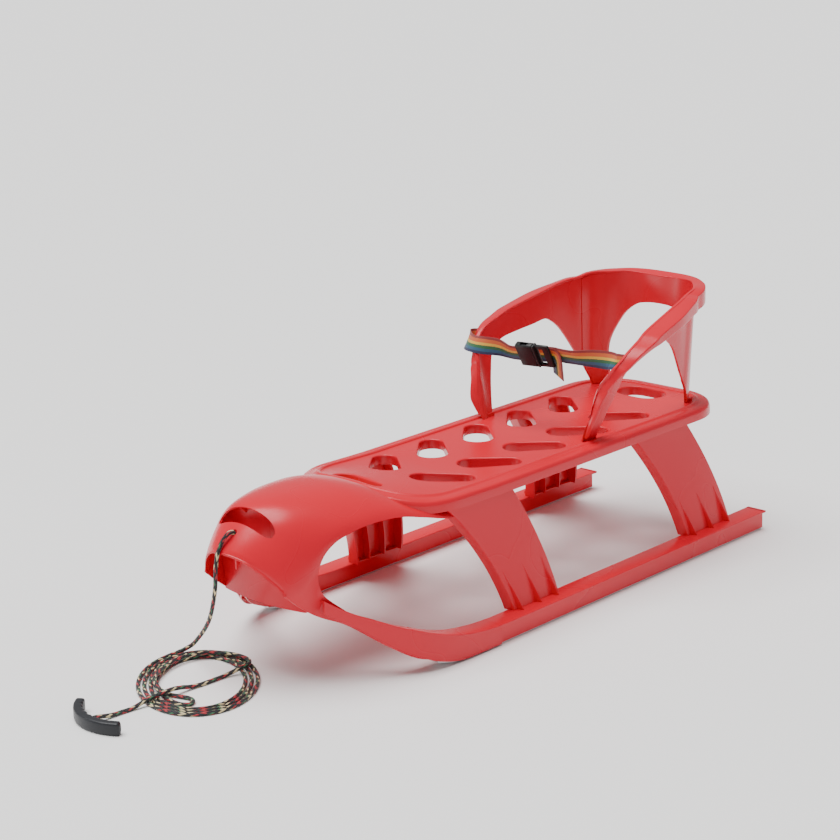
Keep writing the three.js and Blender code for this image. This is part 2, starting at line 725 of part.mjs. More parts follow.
// Openings below the rim: one in each side and one in the back, as shares of the backrest's sizes
const side_arch_shares = [
  [0.927, -0.1], [0.927, 0.02], [0.913, 0.12], [0.868, 0.356], [0.834, 0.494], [0.772, 0.58], [0.674, 0.617],
  [0.579, 0.64], [0.503, 0.66], [0.463, 0.623], [0.427, 0.564], [0.393, 0.479], [0.343, 0.33],
  [0.284, 0.16], [0.247, 0], [0.247, -0.1],
];
const back_arch_shares = [
  [0.552, -0.1], [0.552, 0], [0.585, 0.27], [0.567, 0.4], [0.5, 0.537], [0.429, 0.628], [0.306, 0.702],
  [0.143, 0.729],
];

function back_prism(points, from_rear_low, from_rear_high) {
  const shape = new THREE.Shape(points.map(([x, z]) => new THREE.Vector2(x, z)));
  const depth = from_rear_high - from_rear_low;
  const geometry = new THREE.ExtrudeGeometry(shape, { depth, bevelEnabled: false });
  const rear = at(0, from_rear_low, 0);
  return geometry.rotateX(Math.PI / 2).translate(0, rear.y, 0);
}

// Tabs under the feet that drop through slots in the deck
const tab_drop = 15;
const tab_thickness = 3.6;
const front_tab_length = 24;
const front_tab_place = 340;
const front_tab_x = 101.4;
const rear_tab_length = 15;
const rear_tab_place = 80;
const rear_tab_x = 93;
const rear_tab_turn_share = 0.15;
const tab_clearance = 0.5;

function tab(side, grow) {
  const height = tab_drop + overrun;
  const z = seat_height - tab_drop + height / 2;
  const front = new THREE.BoxGeometry(tab_thickness + 2 * grow, front_tab_length + 2 * grow, height);
  const rear = new THREE.BoxGeometry(tab_thickness + 2 * grow, rear_tab_length + 2 * grow, height);
  const front_place = at(side * front_tab_x, front_tab_place, z);
  const rear_place = at(side * rear_tab_x, rear_tab_place, z);
  rear.rotateZ(side * rear_tab_turn_share * Math.PI);
  return [
    solid(front.translate(front_place.x, front_place.y, front_place.z)),
    solid(rear.translate(rear_place.x, rear_place.y, rear_place.z)),
  ];
}

// Belt: flat webbing from one arm to the other, with a buckle in it
const belt_width = 25;
const belt_thickness = 1.5;
const belt_clearance = 0.7;
const buckle_place_share = [-0.14286, 0.89888, 0.575];
const belt_run = [0.998, 0.042, 0.05];
const belt_up = [-0.03, -0.45, 0.89];

// Webbing along a list of places, its width upright unless a place says otherwise
function webbing(places, width, thickness) {
  const rings = places.map((place, i) => {
    const before = places[Math.max(i - 1, 0)].point;
    const after = places[Math.min(i + 1, places.length - 1)].point;
    const run = new THREE.Vector3().subVectors(after, before).normalize();
    const across = (place.across ?? upright).clone();
    across.addScaledVector(run, -across.dot(run)).normalize();
    const face = new THREE.Vector3().crossVectors(run, across);
    return [[1, 1], [1, -1], [-1, -1], [-1, 1]].map(([a, b]) => place.point.clone()
      .addScaledVector(across, a * width / 2).addScaledVector(face, b * thickness / 2));
  });
  return loft(rings);
}

const belt_x = new THREE.Vector3(...belt_run).normalize();
const belt_y = new THREE.Vector3(...belt_up).cross(belt_x).normalize();
const belt_z = new THREE.Vector3().crossVectors(belt_x, belt_y);
const belt_turn = new THREE.Matrix4().makeBasis(belt_x, belt_y, belt_z).setPosition(on_backrest(...buckle_place_share));
const on_belt = (x, y, z) => new THREE.Vector3(x, y, z).applyMatrix4(belt_turn);

// Buckle: a housing and a latch half whose prongs slide into it
const housing_length = 34;
const buckle_width = 34;
const buckle_depth = 11;
const housing_wall = 2.2;
const housing_end = 9;
const housing_window = 15;
const housing_window_start = 9;
const pocket_depth = 6;
const latch_frame = 31;
const latch_frame_depth = 5;
const latch_root = 7;
const latch_bar = 4;
const latch_rail = 3.5;
const prong_reach = 23;
const prong_width = 5;
const prong_gap = 0.5;
const guide_width = 6;
const guide_reach_share = 0.7;

// The far half of the belt runs from the housing to the arm, wraps its brim and tucks in behind it.
// Its places are shares of the housing's length, then of the backrest's sizes, with the way up
const upright = new THREE.Vector3(0, 0, 1);
const leaning = [0, 0.45, 0.89];
const far_lead_share = 1.41176;
const far_run_shares = [[-0.65, 0.90449, 0.58723, [0, -0.1, 1]]];
const far_wrap_shares = [
  [-0.85714, 0.91011, 0.58883, [0, 0.15, 1]],
  [-0.97143, 0.91433, 0.58883, leaning],
  [-1.05714, 0.9059, 0.58883, leaning],
  [-1.12143, 0.88904, 0.58883, leaning],
  [-1.15357, 0.87219, 0.58883, leaning],
  [-1.16429, 0.85393, 0.58883, leaning],
  [-1.15, 0.83708, 0.58883, leaning],
  [-1.11429, 0.82584, 0.58883, leaning],
  [-1.06429, 0.81742, 0.58883, leaning],
];
const belt_by_backrest = ([x, along, up, across]) =>
  ({ point: on_backrest(x, along, up), across: new THREE.Vector3(...across) });
const far_wrap = far_wrap_shares.map(belt_by_backrest);
const far_belt = [
  { point: on_belt(-housing_length + pocket_depth - seat_gap, 0, 0), across: belt_z },
  { point: on_belt(-far_lead_share * housing_length, 0, 0), across: belt_z },
  ...far_run_shares.map(belt_by_backrest),
  ...far_wrap,
];

// The near half comes through the arm's slot, under the latch frame and back over it as a loose end.
// By the buckle its places are shares of the latch frame's length and of the buckle's depth and width
const near_entry_shares = [
  [1.07857, 0.81461, 0.65266, [0, 0, 1]],
  [1.075, 0.84551, 0.65266, [0, 0, 1]],
  [1.04643, 0.86657, 0.65053, [0, 0, 1]],
  [0.97857, 0.87809, 0.64734, [0, 0, 1]],
  [0.85, 0.88202, 0.64468, [0, -0.2, 1]],
  [0.65714, 0.88483, 0.63404, [0, -0.4, 0.9]],
];
const near_run_share = [0.4, 0.88933, 0.61011];
const near_loop_shares = [
  [1.51613, 0.14545, 0.01765], [1.22581, 0.4, 0.00588], [0.93548, 0.41818, 0], [0.70968, 0.21818, 0],
  [0.41935, 0.12727, 0], [0.30645, 0, 0], [0.41935, -0.12727, 0], [0.70968, -0.23636, 0],
  [0.93548, -0.43636, 0],
];
const loose_end_shares = [
  [1.12903, -0.59091, -0.08824, [0.3, -0.3, 0.9]], [1.19355, -0.72727, -0.32353, [0.75, -0.3, 0.6]],
  [1.25806, -0.81818, -0.64706, [0.9, -0.25, 0.35]], [1.35484, -0.81818, -1.08824, [0.85, -0.3, 0.45]],
];
const by_buckle = (x, y, z) => on_belt(x * latch_frame, y * buckle_depth, z * buckle_width);
const near_entry = near_entry_shares.map(belt_by_backrest);
const near_belt = [
  ...near_entry,
  { point: on_backrest(...near_run_share), across: belt_z },
  ...near_loop_shares.map((place) => ({ point: by_buckle(...place), across: belt_z })),
  ...loose_end_shares.map(([x, y, z, across]) =>
    ({ point: by_buckle(x, y, z), across: new THREE.Vector3(...across) })),
];

function buckle_housing() {
  const box = (x0, x1, y_size, z_size) => new THREE.BoxGeometry(x1 - x0, y_size, z_size)
    .translate((x0 + x1) / 2, 0, 0);
  const shell = solid(box(-housing_length, 0, buckle_depth, buckle_width));
  const cavity = solid(box(-housing_length + housing_end, overrun, buckle_depth - 2 * housing_wall,
    buckle_width - 2 * housing_wall));
  const pocket = solid(box(-housing_length - overrun, -housing_length + pocket_depth,
    belt_thickness + 2 * seat_gap, belt_width + 2 * seat_gap));
  const windows = solid(box(-housing_window_start - housing_window, -housing_window_start,
    buckle_depth - 2 * housing_wall, buckle_width + overrun));
  return shell.subtract(joined([cavity, pocket, windows]));
}

function buckle_latch() {
  const box = (x0, x1, y_size, z_low, z_high) => solid(new THREE.BoxGeometry(x1 - x0, y_size, z_high - z_low)
    .translate((x0 + x1) / 2, 0, (z_low + z_high) / 2));
  const half = buckle_width / 2;
  const root = box(seat_gap, latch_root, buckle_depth, -half, half);
  const frame = box(latch_root - seat_gap, latch_frame, latch_frame_depth, -half, half);
  const window = box(latch_root, latch_frame - latch_bar, buckle_depth + overrun,
    -half + latch_rail, half - latch_rail);
  const prong_top = half - housing_wall - prong_gap;
  const depth = buckle_depth - 2 * housing_wall - 2 * prong_gap;
  const prongs = both_sides.map((side) => {
    const edges = [side * (prong_top - prong_width), side * prong_top].sort((a, b) => a - b);
    return box(-prong_reach, latch_root, depth, edges[0], edges[1]);
  });
  const guide = box(-prong_reach * guide_reach_share, latch_root, depth, -guide_width / 2, guide_width / 2);
  return joined([root, frame.subtract(window), ...prongs, guide]);
}

// Runners: steel strips under the rails that follow the arms' first rise
const strip_width = 21;
const strip_rear = 5;
const strip_front = 778;

function runner() {
  const half = strip_width / 2;
  const places = [strip_rear, ...arm_stations.filter((place) => place < strip_front), strip_front];
  const strip = solid(loft(places.map((place) => {
    const rail_here = rail_at(place);
    const low = rail_here.bottom - rail_bottom;
    const centre = rail_here.outer - flange_overhang - rail_here.channel / 2;
    const high = low + strip_thickness;
    return [
      at(centre - half, place, low), at(centre + half, place, low),
      at(centre + half, place, high), at(centre - half, place, high),
    ];
  })));
  const bores = screw_places.map((place) => {
    const through = solid(upright_rod(screw_radius + screw_clearance, rail_centre, place, -overrun, overrun));
    const sink = solid(upright_rod(screw_head_radius + screw_clearance, rail_centre, place,
      -overrun, screw_head_depth + seat_gap / 2));
    return through.add(sink);
  });
  return strip.subtract(joined(bores));
}

function screw() {
  const profile = [
    [0, seat_gap], [screw_head_radius, seat_gap], [screw_head_radius, screw_head_depth],
    [screw_radius, screw_head_depth], [screw_radius, screw_length - screw_radius], [0, screw_length],
  ].map(([r, z]) => new THREE.Vector2(r, z));
  return new THREE.LatheGeometry(profile, 10).rotateX(Math.PI / 2);
}

// Rope: a round cord through the nose, down to the floor, coiled there and out to the handle
const rope_radius = rope_diameter / 2;
const coil_centre = [-41, 1018];
const coil_half_length = 116;
const coil_half_width = 85;
const coil_pitch = 8.5;
const coil_turns = 3.1;
const coil_steps_per_turn = 24;
const coil_start_turn = 0.6;
const coil_axis_turn = -0.1167;
const coil_sides = 6;
const stretch_sides = 8;

function coil_point(turn) {
  const inwards = coil_pitch * turn;
  const angle = 2 * Math.PI * (coil_start_turn + turn);
  const u = (coil_half_length - inwards) * Math.cos(angle);
  const v = (coil_half_width - inwards) * Math.sin(angle);
  const c = Math.cos(2 * Math.PI * coil_axis_turn);
  const s = Math.sin(2 * Math.PI * coil_axis_turn);
  const centre = at(coil_centre[0], coil_centre[1], rope_radius);
  return centre.add(new THREE.Vector3(u * c - v * s, u * s + v * c, 0));
}

const coil_steps = Math.round(coil_turns * coil_steps_per_turn);
const coil_points = Array.from({ length: coil_steps + 1 }, (_, i) => coil_point(i * coil_turns / coil_steps));

// Both ends of the coil run straight on for one diameter
const straight_on = (end, before) => {
  const run = new THREE.Vector3().subVectors(end, before).normalize();
  return end.clone().addScaledVector(run, rope_diameter);
};
const tangent_step_share = 0.001;
coil_points.unshift(straight_on(coil_points[0], coil_point(tangent_step_share)));
coil_points.push(straight_on(coil_points[coil_steps + 1], coil_point(coil_turns - tangent_step_share)));

// Least gap of the coil to itself, from its points at least half a turn apart
const coil_gap = Math.min(...coil_points.flatMap((point, i) =>
  coil_points.slice(i + coil_steps_per_turn / 2).map((other) => point.distanceTo(other) - rope_diameter)));
console.log(`least gap of the coil to itself: ${coil_gap.toFixed(2)} mm`);

const lead_route = [
  [0, 976.7, 213.2], [0, 981.3, 217.9], [0, 986.6, 221.4], [0, 994.5, 222], [-0.5, 1001.5, 216], [-1, 1005, 206],
  [-3, 1006, 190], [-7, 1005.5, 168], [-15, 1003, 143], [-28, 997, 114], [-49, 986, 84], [-76, 973, 57],
  [-104, 962, 33], [-125, 956, 16], [-138, 961, 7], [-143.6, 969, 3.6], [-145.1, 978, 3], [-144.6, 986, 3],
].map((place) => at(...place));

const end_route = [
  [-95, 1046.1, 3], [-91, 1051.2, 3], [-79, 1062, 3], [-64, 1070, 3], [-50, 1073.5, 3],
  [-36, 1074, 3], [-22, 1070, 3], [-8, 1066, 3], [3, 1069, 3], [8, 1078, 3], [2, 1086, 3],
  [-16, 1088, 3], [-36, 1085, 3.6], [-54, 1080, 7], [-74, 1070, 9.5], [-90, 1054, 9.6],
  [-103, 1032, 9.6], [-111, 1008, 9.6], [-113, 984, 9.6], [-107, 962, 9.6], [-93, 945, 9.6],
  [-73, 934, 9.6], [-50, 930, 9.6], [-31, 934, 9.7], [-21, 946, 9.9], [-21, 957, 9.9], [-26, 971, 5.5],
  [-29, 984, 3], [-30, 1004, 3], [-32, 1026, 3], [-34.5, 1042, 4.5], [-35.5, 1054, 7.5], [-36, 1066, 9.6],
  [-36, 1077, 10.6], [-36, 1088, 10.4], [-36.5, 1100, 9.7], [-37.5, 1112, 9.4], [-39, 1124, 6.5],
  [-41, 1138, 3.2], [-43, 1154, 3], [-44.5, 1170, 3.6], [-45.4, 1183, 6], [-45.8, 1193, 8.3],
  [-46.4, 1200, 9], [-47.6, 1206.5, 9], [-48.6, 1211.5, 9],
].map((place) => at(...place));

// A round section swept along points, with rings square to the run and free of twist
function cord(points, sides) {
  const rings = [];
  let side = null;
  points.forEach((point, i) => {
    const before = points[Math.max(i - 1, 0)];
    const after = points[Math.min(i + 1, points.length - 1)];
    const run = new THREE.Vector3().subVectors(after, before).normalize();
    side = side ?? new THREE.Vector3(1, 0, 0).cross(run).normalize();
    side.addScaledVector(run, -side.dot(run)).normalize();
    const up = new THREE.Vector3().crossVectors(run, side);
    rings.push(Array.from({ length: sides }, (_, j) => {
      const angle = 2 * Math.PI * (j + 0.5) / sides;
      return point.clone().addScaledVector(side, rope_radius * Math.cos(angle))
        .addScaledVector(up, rope_radius * Math.sin(angle));
    }));
  });
  return loft(rings);
}

// Points of a smooth route through the hand-chosen places, as far apart as a share of the diameter
const rope_step_share = 2.4;
function smooth(route, step) {
  const curve = new THREE.CatmullRomCurve3(route, false, "centripetal");
  return curve.getSpacedPoints(Math.round(curve.getLength() / step));
}

// Pull handle: a bowed bar with ribs on its inner side and a socket for the rope
const handle_centre = [-48.6, 1212];
const handle_turn_share = -0.063;
const handle_radius = 74;
const handle_half_angle_share = 0.225;
const handle_thickness = 14;
const handle_height = 18;
const handle_end_thickness = 10;
const handle_ribs = 9;
const rib_drop = 1.6;
const socket_depth = 9;

function handle() {
  const steps = 2 * handle_ribs + 1;
  const half_angle = handle_half_angle_share * Math.PI;
  const rings = Array.from({ length: steps + 1 }, (_, i) => {
    const share = 2 * i / steps - 1;
    const angle = share * half_angle;
    const thick = lerp(handle_thickness, handle_end_thickness, share ** 2);
    const inner = handle_radius - thick / 2 + (i % 2 ? rib_drop : 0);
    const outer = handle_radius + thick / 2;
    const chamfer = handle_end_thickness / 4;
    return [
      [inner, chamfer], [inner, handle_height - chamfer], [inner + chamfer, handle_height],
      [outer - chamfer, handle_height], [outer, handle_height - chamfer], [outer, chamfer],
      [outer - chamfer, 0], [inner + chamfer, 0],
    ].map(([r, z]) => new THREE.Vector3(r * Math.sin(angle), handle_radius - r * Math.cos(angle), z));
  });
  const bar = solid(loft(rings));
  const bore_radius = rope_radius + 2 * seat_gap;
  const bore = solid(new THREE.CylinderGeometry(bore_radius, bore_radius, 2 * socket_depth, 12)
    .translate(0, handle_thickness / 2, handle_height / 2));
  return bar.subtract(bore);
}

// Knot that keeps the rope from running out through the nose, drawn against the hole from inside
const knot_radius = 8;
const knot_length = 13;
const knot_setback = 9.6;
const knot_slack = 1;
const knot_shares = [[0, -1], [0.62, -0.82], [0.95, -0.35], [1, 0.1], [0.8, 0.7], [0, 1]];

function knot() {
  const profile = knot_shares.map(([r, z]) => new THREE.Vector2(r * knot_radius, z * knot_length / 2));
  return new THREE.LatheGeometry(profile, 10);
}

// Materials, with the colours and finish that the real pieces have
const material = (color, roughness, metalness = 0) => new THREE.MeshStandardMaterial({ color, roughness, metalness });
const red_plastic = () => material(0xe0312c, 0.38);
const black_plastic = () => material(0x1c1d1e, 0.45);
const black_cord = () => material(0x17171a, 0.85);
const rainbow_webbing = () => material(0x8a5a2c, 0.8);
const steel = () => material(0xb4b6b8, 0.35, 1);

const sled = new THREE.Group();
function add(name, shape, finish, matrix) {
  const mesh = new THREE.Mesh(shape, finish);
  mesh.name = name;
  if (matrix) mesh.applyMatrix4(matrix);
  sled.add(mesh);
}

// The body moulding is joined from its rails, hood, deck and legs, then cut
const right_rail = rail();
const left_rail = solid(mirrored(geometry_of(right_rail)));
const deck = joined([deck_rim(), deck_plate()]);
const collars = drops.map(({ shape, place }) => {
  const floor = seat_height + seat_rise(0, place);
  return solid(upright_prism(shape(collar_wall), floor - collar_depth, floor - plastic_wall / 2));
});
const leg_parts = legs.flatMap((leg) => leg_solids(leg)).flatMap((part) => [solid(part), solid(mirrored(part))]);
const hole_cutters = drops.map(({ shape }) =>
  solid(upright_prism(shape(0), seat_height - 2 * skirt_depth, seat_height + front_rise + skirt_depth)));
const tab_slots = both_sides.flatMap((side) => tab(side, tab_clearance));
const body = joined([hood(), deck, ...collars, ...leg_parts, right_rail, left_rail])
  .subtract(joined([...hole_cutters, ...tab_slots]));
add("sled_body", geometry_of(body), red_plastic());

// A belt's way through the backrest is wider than the belt and longer at both ends
const way_overrun_share = 0.1;
const way_end = (end, beside) =>
  ({ point: beside.point.clone().lerp(end.point, 1 + way_overrun_share), across: end.across });
function belt_way(places) {
  const last = places.length - 1;
  const way = [way_end(places[0], places[1]), ...places, way_end(places[last], places[last - 1])];
  return webbing(way, belt_width + 2 * belt_clearance, belt_thickness + 2 * belt_clearance);
}

// The backrest is its wall and brim, cut by the arches and by the belt's ways through it
const wall_solid = solid(loft(backrest_rows.map(backrest_wall_ring)));
const brim_rows = backrest_rows.map((row, i) => ({ row, i }));
const brim_solid = solid(loft(brim_rows.map(({ row, i }) => backrest_brim_ring(row, i))));
const side_arch = side_arch_shares.map(([place, height]) =>
  [place * backrest_front, backrest_foot + height * backrest_rise]);
const back_arch_half = back_arch_shares.map(([x, height]) =>
  [x * backrest_half_width, backrest_foot + height * backrest_rise]);
const back_arch = [...back_arch_half, ...back_arch_half.map(([x, z]) => [-x, z]).reverse()];
const below_brim = block(2 * track_width, sled_length, 2 * brim_clearance,
  at(0, sled_length / 2, backrest_foot));
const brim_cut = brim_solid.subtract(solid(below_brim));
const backrest = joined([wall_solid, brim_cut])
  .subtract(solid(side_prism(side_arch, -track_width / 2, track_width / 2)))
  .subtract(solid(back_prism(back_arch, -overrun, rear_tab_place + overrun)))
  .add(joined(both_sides.flatMap((side) => tab(side, 0))))
  .subtract(solid(belt_way(far_wrap)))
  .subtract(solid(belt_way(near_entry)));
add("backrest", geometry_of(backrest), red_plastic());

for (const [side_name, side] of [["right", 1], ["left", -1]]) {
  const strip = geometry_of(runner());
  add(`runner_${side_name}`, side > 0 ? strip : geometry_of(solid(mirrored(strip))), steel());
  screw_places.forEach((place, i) => {
    const seat = at(side * rail_centre, place, 0);
    add(`runner_screw_${side_name}_${i + 1}`, geometry_of(solid(screw())), steel(),
      new THREE.Matrix4().setPosition(seat));
  });
}

add("belt_left", geometry_of(solid(webbing(far_belt, belt_width, belt_thickness))), rainbow_webbing());
add("belt_right", geometry_of(solid(webbing(near_belt, belt_width, belt_thickness))), rainbow_webbing());
add("buckle_housing", geometry_of(buckle_housing()), black_plastic(), belt_turn);
add("buckle_latch", geometry_of(buckle_latch()), black_plastic(), belt_turn);

const lead_points = smooth(lead_route, rope_step_share * rope_diameter);
const end_points = smooth(end_route, rope_step_share * rope_diameter);
add("rope_lead", geometry_of(solid(cord(lead_points, stretch_sides))), black_cord());
add("rope_coil", geometry_of(solid(cord(coil_points, coil_sides))), black_cord());
add("rope_end", geometry_of(solid(cord(end_points, stretch_sides))), black_cord());

const handle_matrix = new THREE.Matrix4().makeRotationZ(handle_turn_share * Math.PI)
  .setPosition(at(handle_centre[0], handle_centre[1], 0));
add("pull_handle", geometry_of(handle()), black_plastic(), handle_matrix);
const knot_matrix = new THREE.Matrix4().makeRotationX((hole_tilt_share - 0.5) * Math.PI);
const knot_axis = new THREE.Vector3(0, 1, 0).transformDirection(knot_matrix);
const knot_side = new THREE.Vector3(0, 0, 1).transformDirection(knot_matrix);
knot_matrix.setPosition(at(0, hole_place, hole_height)
  .addScaledVector(knot_axis, knot_setback).addScaledVector(knot_side, -knot_slack));
add("rope_knot", geometry_of(solid(knot())), black_cord(), knot_matrix);

export default sled;
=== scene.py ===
"""Baby pull sled: a moulded plastic body on steel-shod rails, a plug-in backrest with a
belt, and a pull rope. Tables of places are in millimetres, as (across, ahead of the rear
end, up), and at() turns them into metres in the sled's frame."""

import math

import bmesh
import bpy
import numpy as np
from mathutils import Matrix, Vector
from mathutils.geometry import delaunay_2d_cdt


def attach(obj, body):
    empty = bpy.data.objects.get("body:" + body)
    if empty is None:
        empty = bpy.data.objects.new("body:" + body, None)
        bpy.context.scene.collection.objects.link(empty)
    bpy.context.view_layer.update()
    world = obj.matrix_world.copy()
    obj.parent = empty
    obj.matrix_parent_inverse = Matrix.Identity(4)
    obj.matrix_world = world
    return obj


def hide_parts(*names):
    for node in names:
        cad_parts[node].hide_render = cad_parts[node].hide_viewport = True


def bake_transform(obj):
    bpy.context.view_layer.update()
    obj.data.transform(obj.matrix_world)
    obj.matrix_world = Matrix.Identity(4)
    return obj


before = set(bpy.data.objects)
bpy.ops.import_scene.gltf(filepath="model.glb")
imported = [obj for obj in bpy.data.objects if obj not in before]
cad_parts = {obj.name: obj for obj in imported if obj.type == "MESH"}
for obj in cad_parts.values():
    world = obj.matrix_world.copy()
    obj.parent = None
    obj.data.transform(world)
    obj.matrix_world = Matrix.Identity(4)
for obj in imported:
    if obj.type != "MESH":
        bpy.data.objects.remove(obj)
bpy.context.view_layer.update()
scene = bpy.context.scene

# Camera: it stands ahead of the nose on the sled's right, a little above the backrest, and
# looks back along the deck as the photograph does.
camera_azimuth, camera_elevation, camera_roll = (math.radians(a) for a in (43.0, 16.022, -1.5393))
camera_distance, camera_offset = 3.80891, (-0.417559, 0.142846)
aim = Vector((0, 0.5, 0))
sensor_width, focal_length, photo_width = 36, 2283.78, 840


def linked(name, data):
    made = bpy.data.objects.new(name, data)
    scene.collection.objects.link(made)
    return made


camera = scene.camera = linked("camera", bpy.data.cameras.new("camera"))
back = Vector((math.sin(camera_azimuth) * math.cos(camera_elevation),
               -math.cos(camera_azimuth) * math.cos(camera_elevation), math.sin(camera_elevation)))
level = Vector((math.cos(camera_azimuth), math.sin(camera_azimuth), 0))
right = level * math.cos(camera_roll) + back.cross(level) * math.sin(camera_roll)
above = back.cross(right)
eye = aim + back * camera_distance + right * camera_offset[0] + above * camera_offset[1]
camera.matrix_world = Matrix((right, above, back)).transposed().to_4x4()
camera.matrix_world.translation = eye
camera.data.sensor_width = sensor_width
camera.data.lens = focal_length * sensor_width / photo_width
camera.data.clip_end = 60

# Rope: one length of braided cord, 6 mm thick. It leaves the nose, drops to the floor, lies
# in a flat coil, turns back over it in a small loop and runs out to the handle.
MM = 0.001
sled_length = 1000
rope_diameter = 0.006
rope_sides = 12
coil_centre, coil_half_length, coil_half_width = (-41, 1018), 116, 85
coil_pitch, coil_turns, coil_start, coil_axis = 8.5, 3.1, 0.6, -0.1167
coil_steps, least_gap = 96, 3.4
lead_route = [
    (0, 976.7, 213.2), (0, 980.6, 216.9), (-1.5, 985.6, 216.6), (-4, 990.6, 211.6),
    (-6.2, 995.8, 204), (-7.6, 1001, 194), (-9, 1004, 180), (-11, 1005, 163), (-15, 1003, 143),
    (-28, 997, 114), (-49, 986, 84), (-76, 973, 57),
    (-104, 962, 33), (-125, 956, 16), (-138, 961, 7), (-143.6, 969, 3.6),
    (-145.1, 978, 3), (-144.6, 986, 3),
]
end_route = [
    (-95, 1046.1, 3), (-91, 1051.2, 3), (-79, 1062, 3), (-64, 1070, 3), (-50, 1073.5, 3),
    (-36, 1074, 3), (-22, 1070, 3), (-8, 1066, 3), (3, 1069, 3), (8, 1078, 3),
    (2, 1086, 3), (-16, 1088, 3), (-36, 1085, 3.6), (-54, 1080, 7), (-74, 1070, 9.5),
    (-90, 1054, 9.6), (-103, 1032, 9.6), (-111, 1008, 9.6), (-113, 984, 9.6),
    (-107, 962, 9.6), (-93, 945, 9.6), (-73, 934, 9.6), (-50, 930, 9.6), (-31, 934, 9.7),
    (-21, 946, 9.9), (-21, 957, 9.9), (-26, 971, 5.5), (-29, 984, 3), (-30, 1004, 3),
    (-32, 1026, 3), (-34.5, 1042, 4.5), (-35.5, 1054, 7.5), (-36, 1066, 9.6),
    (-36, 1077, 10.6), (-36, 1088, 10.4), (-36.5, 1100, 9.7), (-37.5, 1112, 9.4),
    (-39, 1124, 6.5), (-41, 1138, 3.2), (-43, 1154, 3), (-44.5, 1170, 3.6),
    (-45.4, 1183, 6), (-45.8, 1193, 8.3), (-46.4, 1200, 9), (-47.6, 1206.5, 9),
    (-48.6, 1211.5, 9),
]


def at(x, from_rear, z):
    return Vector((x, sled_length / 2 - from_rear, z)) * MM


def coil_place(turn):
    inwards, angle = coil_pitch * turn, 2 * math.pi * (coil_start + turn)
    u = (coil_half_length - inwards) * math.cos(angle)
    v = (coil_half_width - inwards) * math.sin(angle)
    c, s = math.cos(2 * math.pi * coil_axis), math.sin(2 * math.pi * coil_axis)
    return (coil_centre[0] + u * c - v * s, coil_centre[1] - u * s - v * c,
            rope_diameter / 2 / MM)


def curve_through(points, steps):
    """Smooth run through rows of numbers, with that many steps from one row to the next."""
    rows = [np.array(p, float) for p in points]
    run = [2 * rows[0] - rows[1], *rows, 2 * rows[-1] - rows[-2]]
    out = []
    for p0, p1, p2, p3 in zip(run, run[1:], run[2:], run[3:]):
        gaps = [max(float(np.linalg.norm(b - a)), 1e-9) ** 0.5
                for a, b in ((p0, p1), (p1, p2), (p2, p3))]
        t0, t1, t2, t3 = 0, gaps[0], gaps[0] + gaps[1], sum(gaps)
        for t in np.linspace(t1, t2, steps, endpoint=False):
            a = (p0 * (t1 - t) + p1 * (t - t0)) / (t1 - t0)
            b = (p1 * (t2 - t) + p2 * (t - t1)) / (t2 - t1)
            c = (p2 * (t3 - t) + p3 * (t - t2)) / (t3 - t2)
            d = (a * (t2 - t) + b * (t - t0)) / (t2 - t0)
            e = (b * (t3 - t) + c * (t - t1)) / (t3 - t1)
            out.append((d * (t2 - t) + e * (t - t1)) / (t2 - t1))
    return [*out, rows[-1]]


def loft(name, rings, closed=False, run_uv=False, across=None):
    """Skin between like rings of points, capped unless it closes on itself. Its map runs along
    the rings' middles, and round them or by the shares across that are given."""
    count = len(rings[0])
    points = [Vector(p) for ring in rings for p in ring]
    spans = len(rings) if closed else len(rings) - 1
    faces = []
    for i in range(spans):
        a, b = i * count, (i + 1) % len(rings) * count
        faces += [(a + j, a + (j + 1) % count, b + (j + 1) % count, b + j) for j in range(count)]
    if not closed:
        faces += [tuple(range(count)), tuple(range(len(points) - count, len(points)))]
    mesh = bpy.data.meshes.new(name)
    mesh.from_pydata(points, [], faces)
    tidy_skin(mesh)
    if run_uv:
        runs = [0.0]
        middles = [sum((Vector(p) for p in ring), Vector()) / count for ring in rings]
        for a, b in zip(middles, [*middles[1:], middles[0]]):
            runs.append(runs[-1] + (b - a).length)
        layer = mesh.uv_layers.new(name="run").data
        for face in mesh.polygons:
            span, strip = divmod(face.index, count)
            for corner in face.loop_indices:
                ring, j = divmod(mesh.loops[corner].vertex_index, count)
                ring = len(rings) if ring == 0 and span == len(rings) - 1 else ring
                round_share = 1 if strip == count - 1 and j == 0 else j / count
                layer[corner].uv = (across[j] if across else round_share, runs[ring])
    return mesh


def tidy_skin(mesh):
    """Welds the points that lie on each other and turns all faces outwards."""
    skin = bmesh.new()
    skin.from_mesh(mesh)
    bmesh.ops.remove_doubles(skin, verts=skin.verts, dist=1e-6)
    bmesh.ops.recalc_face_normals(skin, faces=skin.faces)
    skin.to_mesh(mesh)
    skin.free()


def turns(count):
    """Angles at even steps round a circle."""
    return np.linspace(0, 2 * math.pi, count, endpoint=False)


def arc(centre, radius, angles):
    return [(centre[0] + radius * math.cos(a), centre[1] + radius * math.sin(a)) for a in angles]


def way_at(points, i):
    """The step from the point before one to the point after it."""
    return points[min(i + 1, len(points) - 1)] - points[max(i - 1, 0)]


def round_section(points, diameter, sides, hub=None):
    """Rings of a round cord along points, free of twist. Round a hub the cord is a closed loop."""
    rings, side = [], None
    for i, point in enumerate(points):
        if hub:
            run, side = points[(i + 1) % len(points)] - points[i - 1], point - hub
        else:
            run = way_at(points, i)
            side = side or Vector((1, 0, 0)).cross(run)
        run = run.normalized()
        side = (side - run * side.dot(run)).normalized()
        up = run.cross(side)
        rings.append([point + (side * math.cos(a) + up * math.sin(a)) * diameter / 2
                      for a in turns(sides)])
    return rings


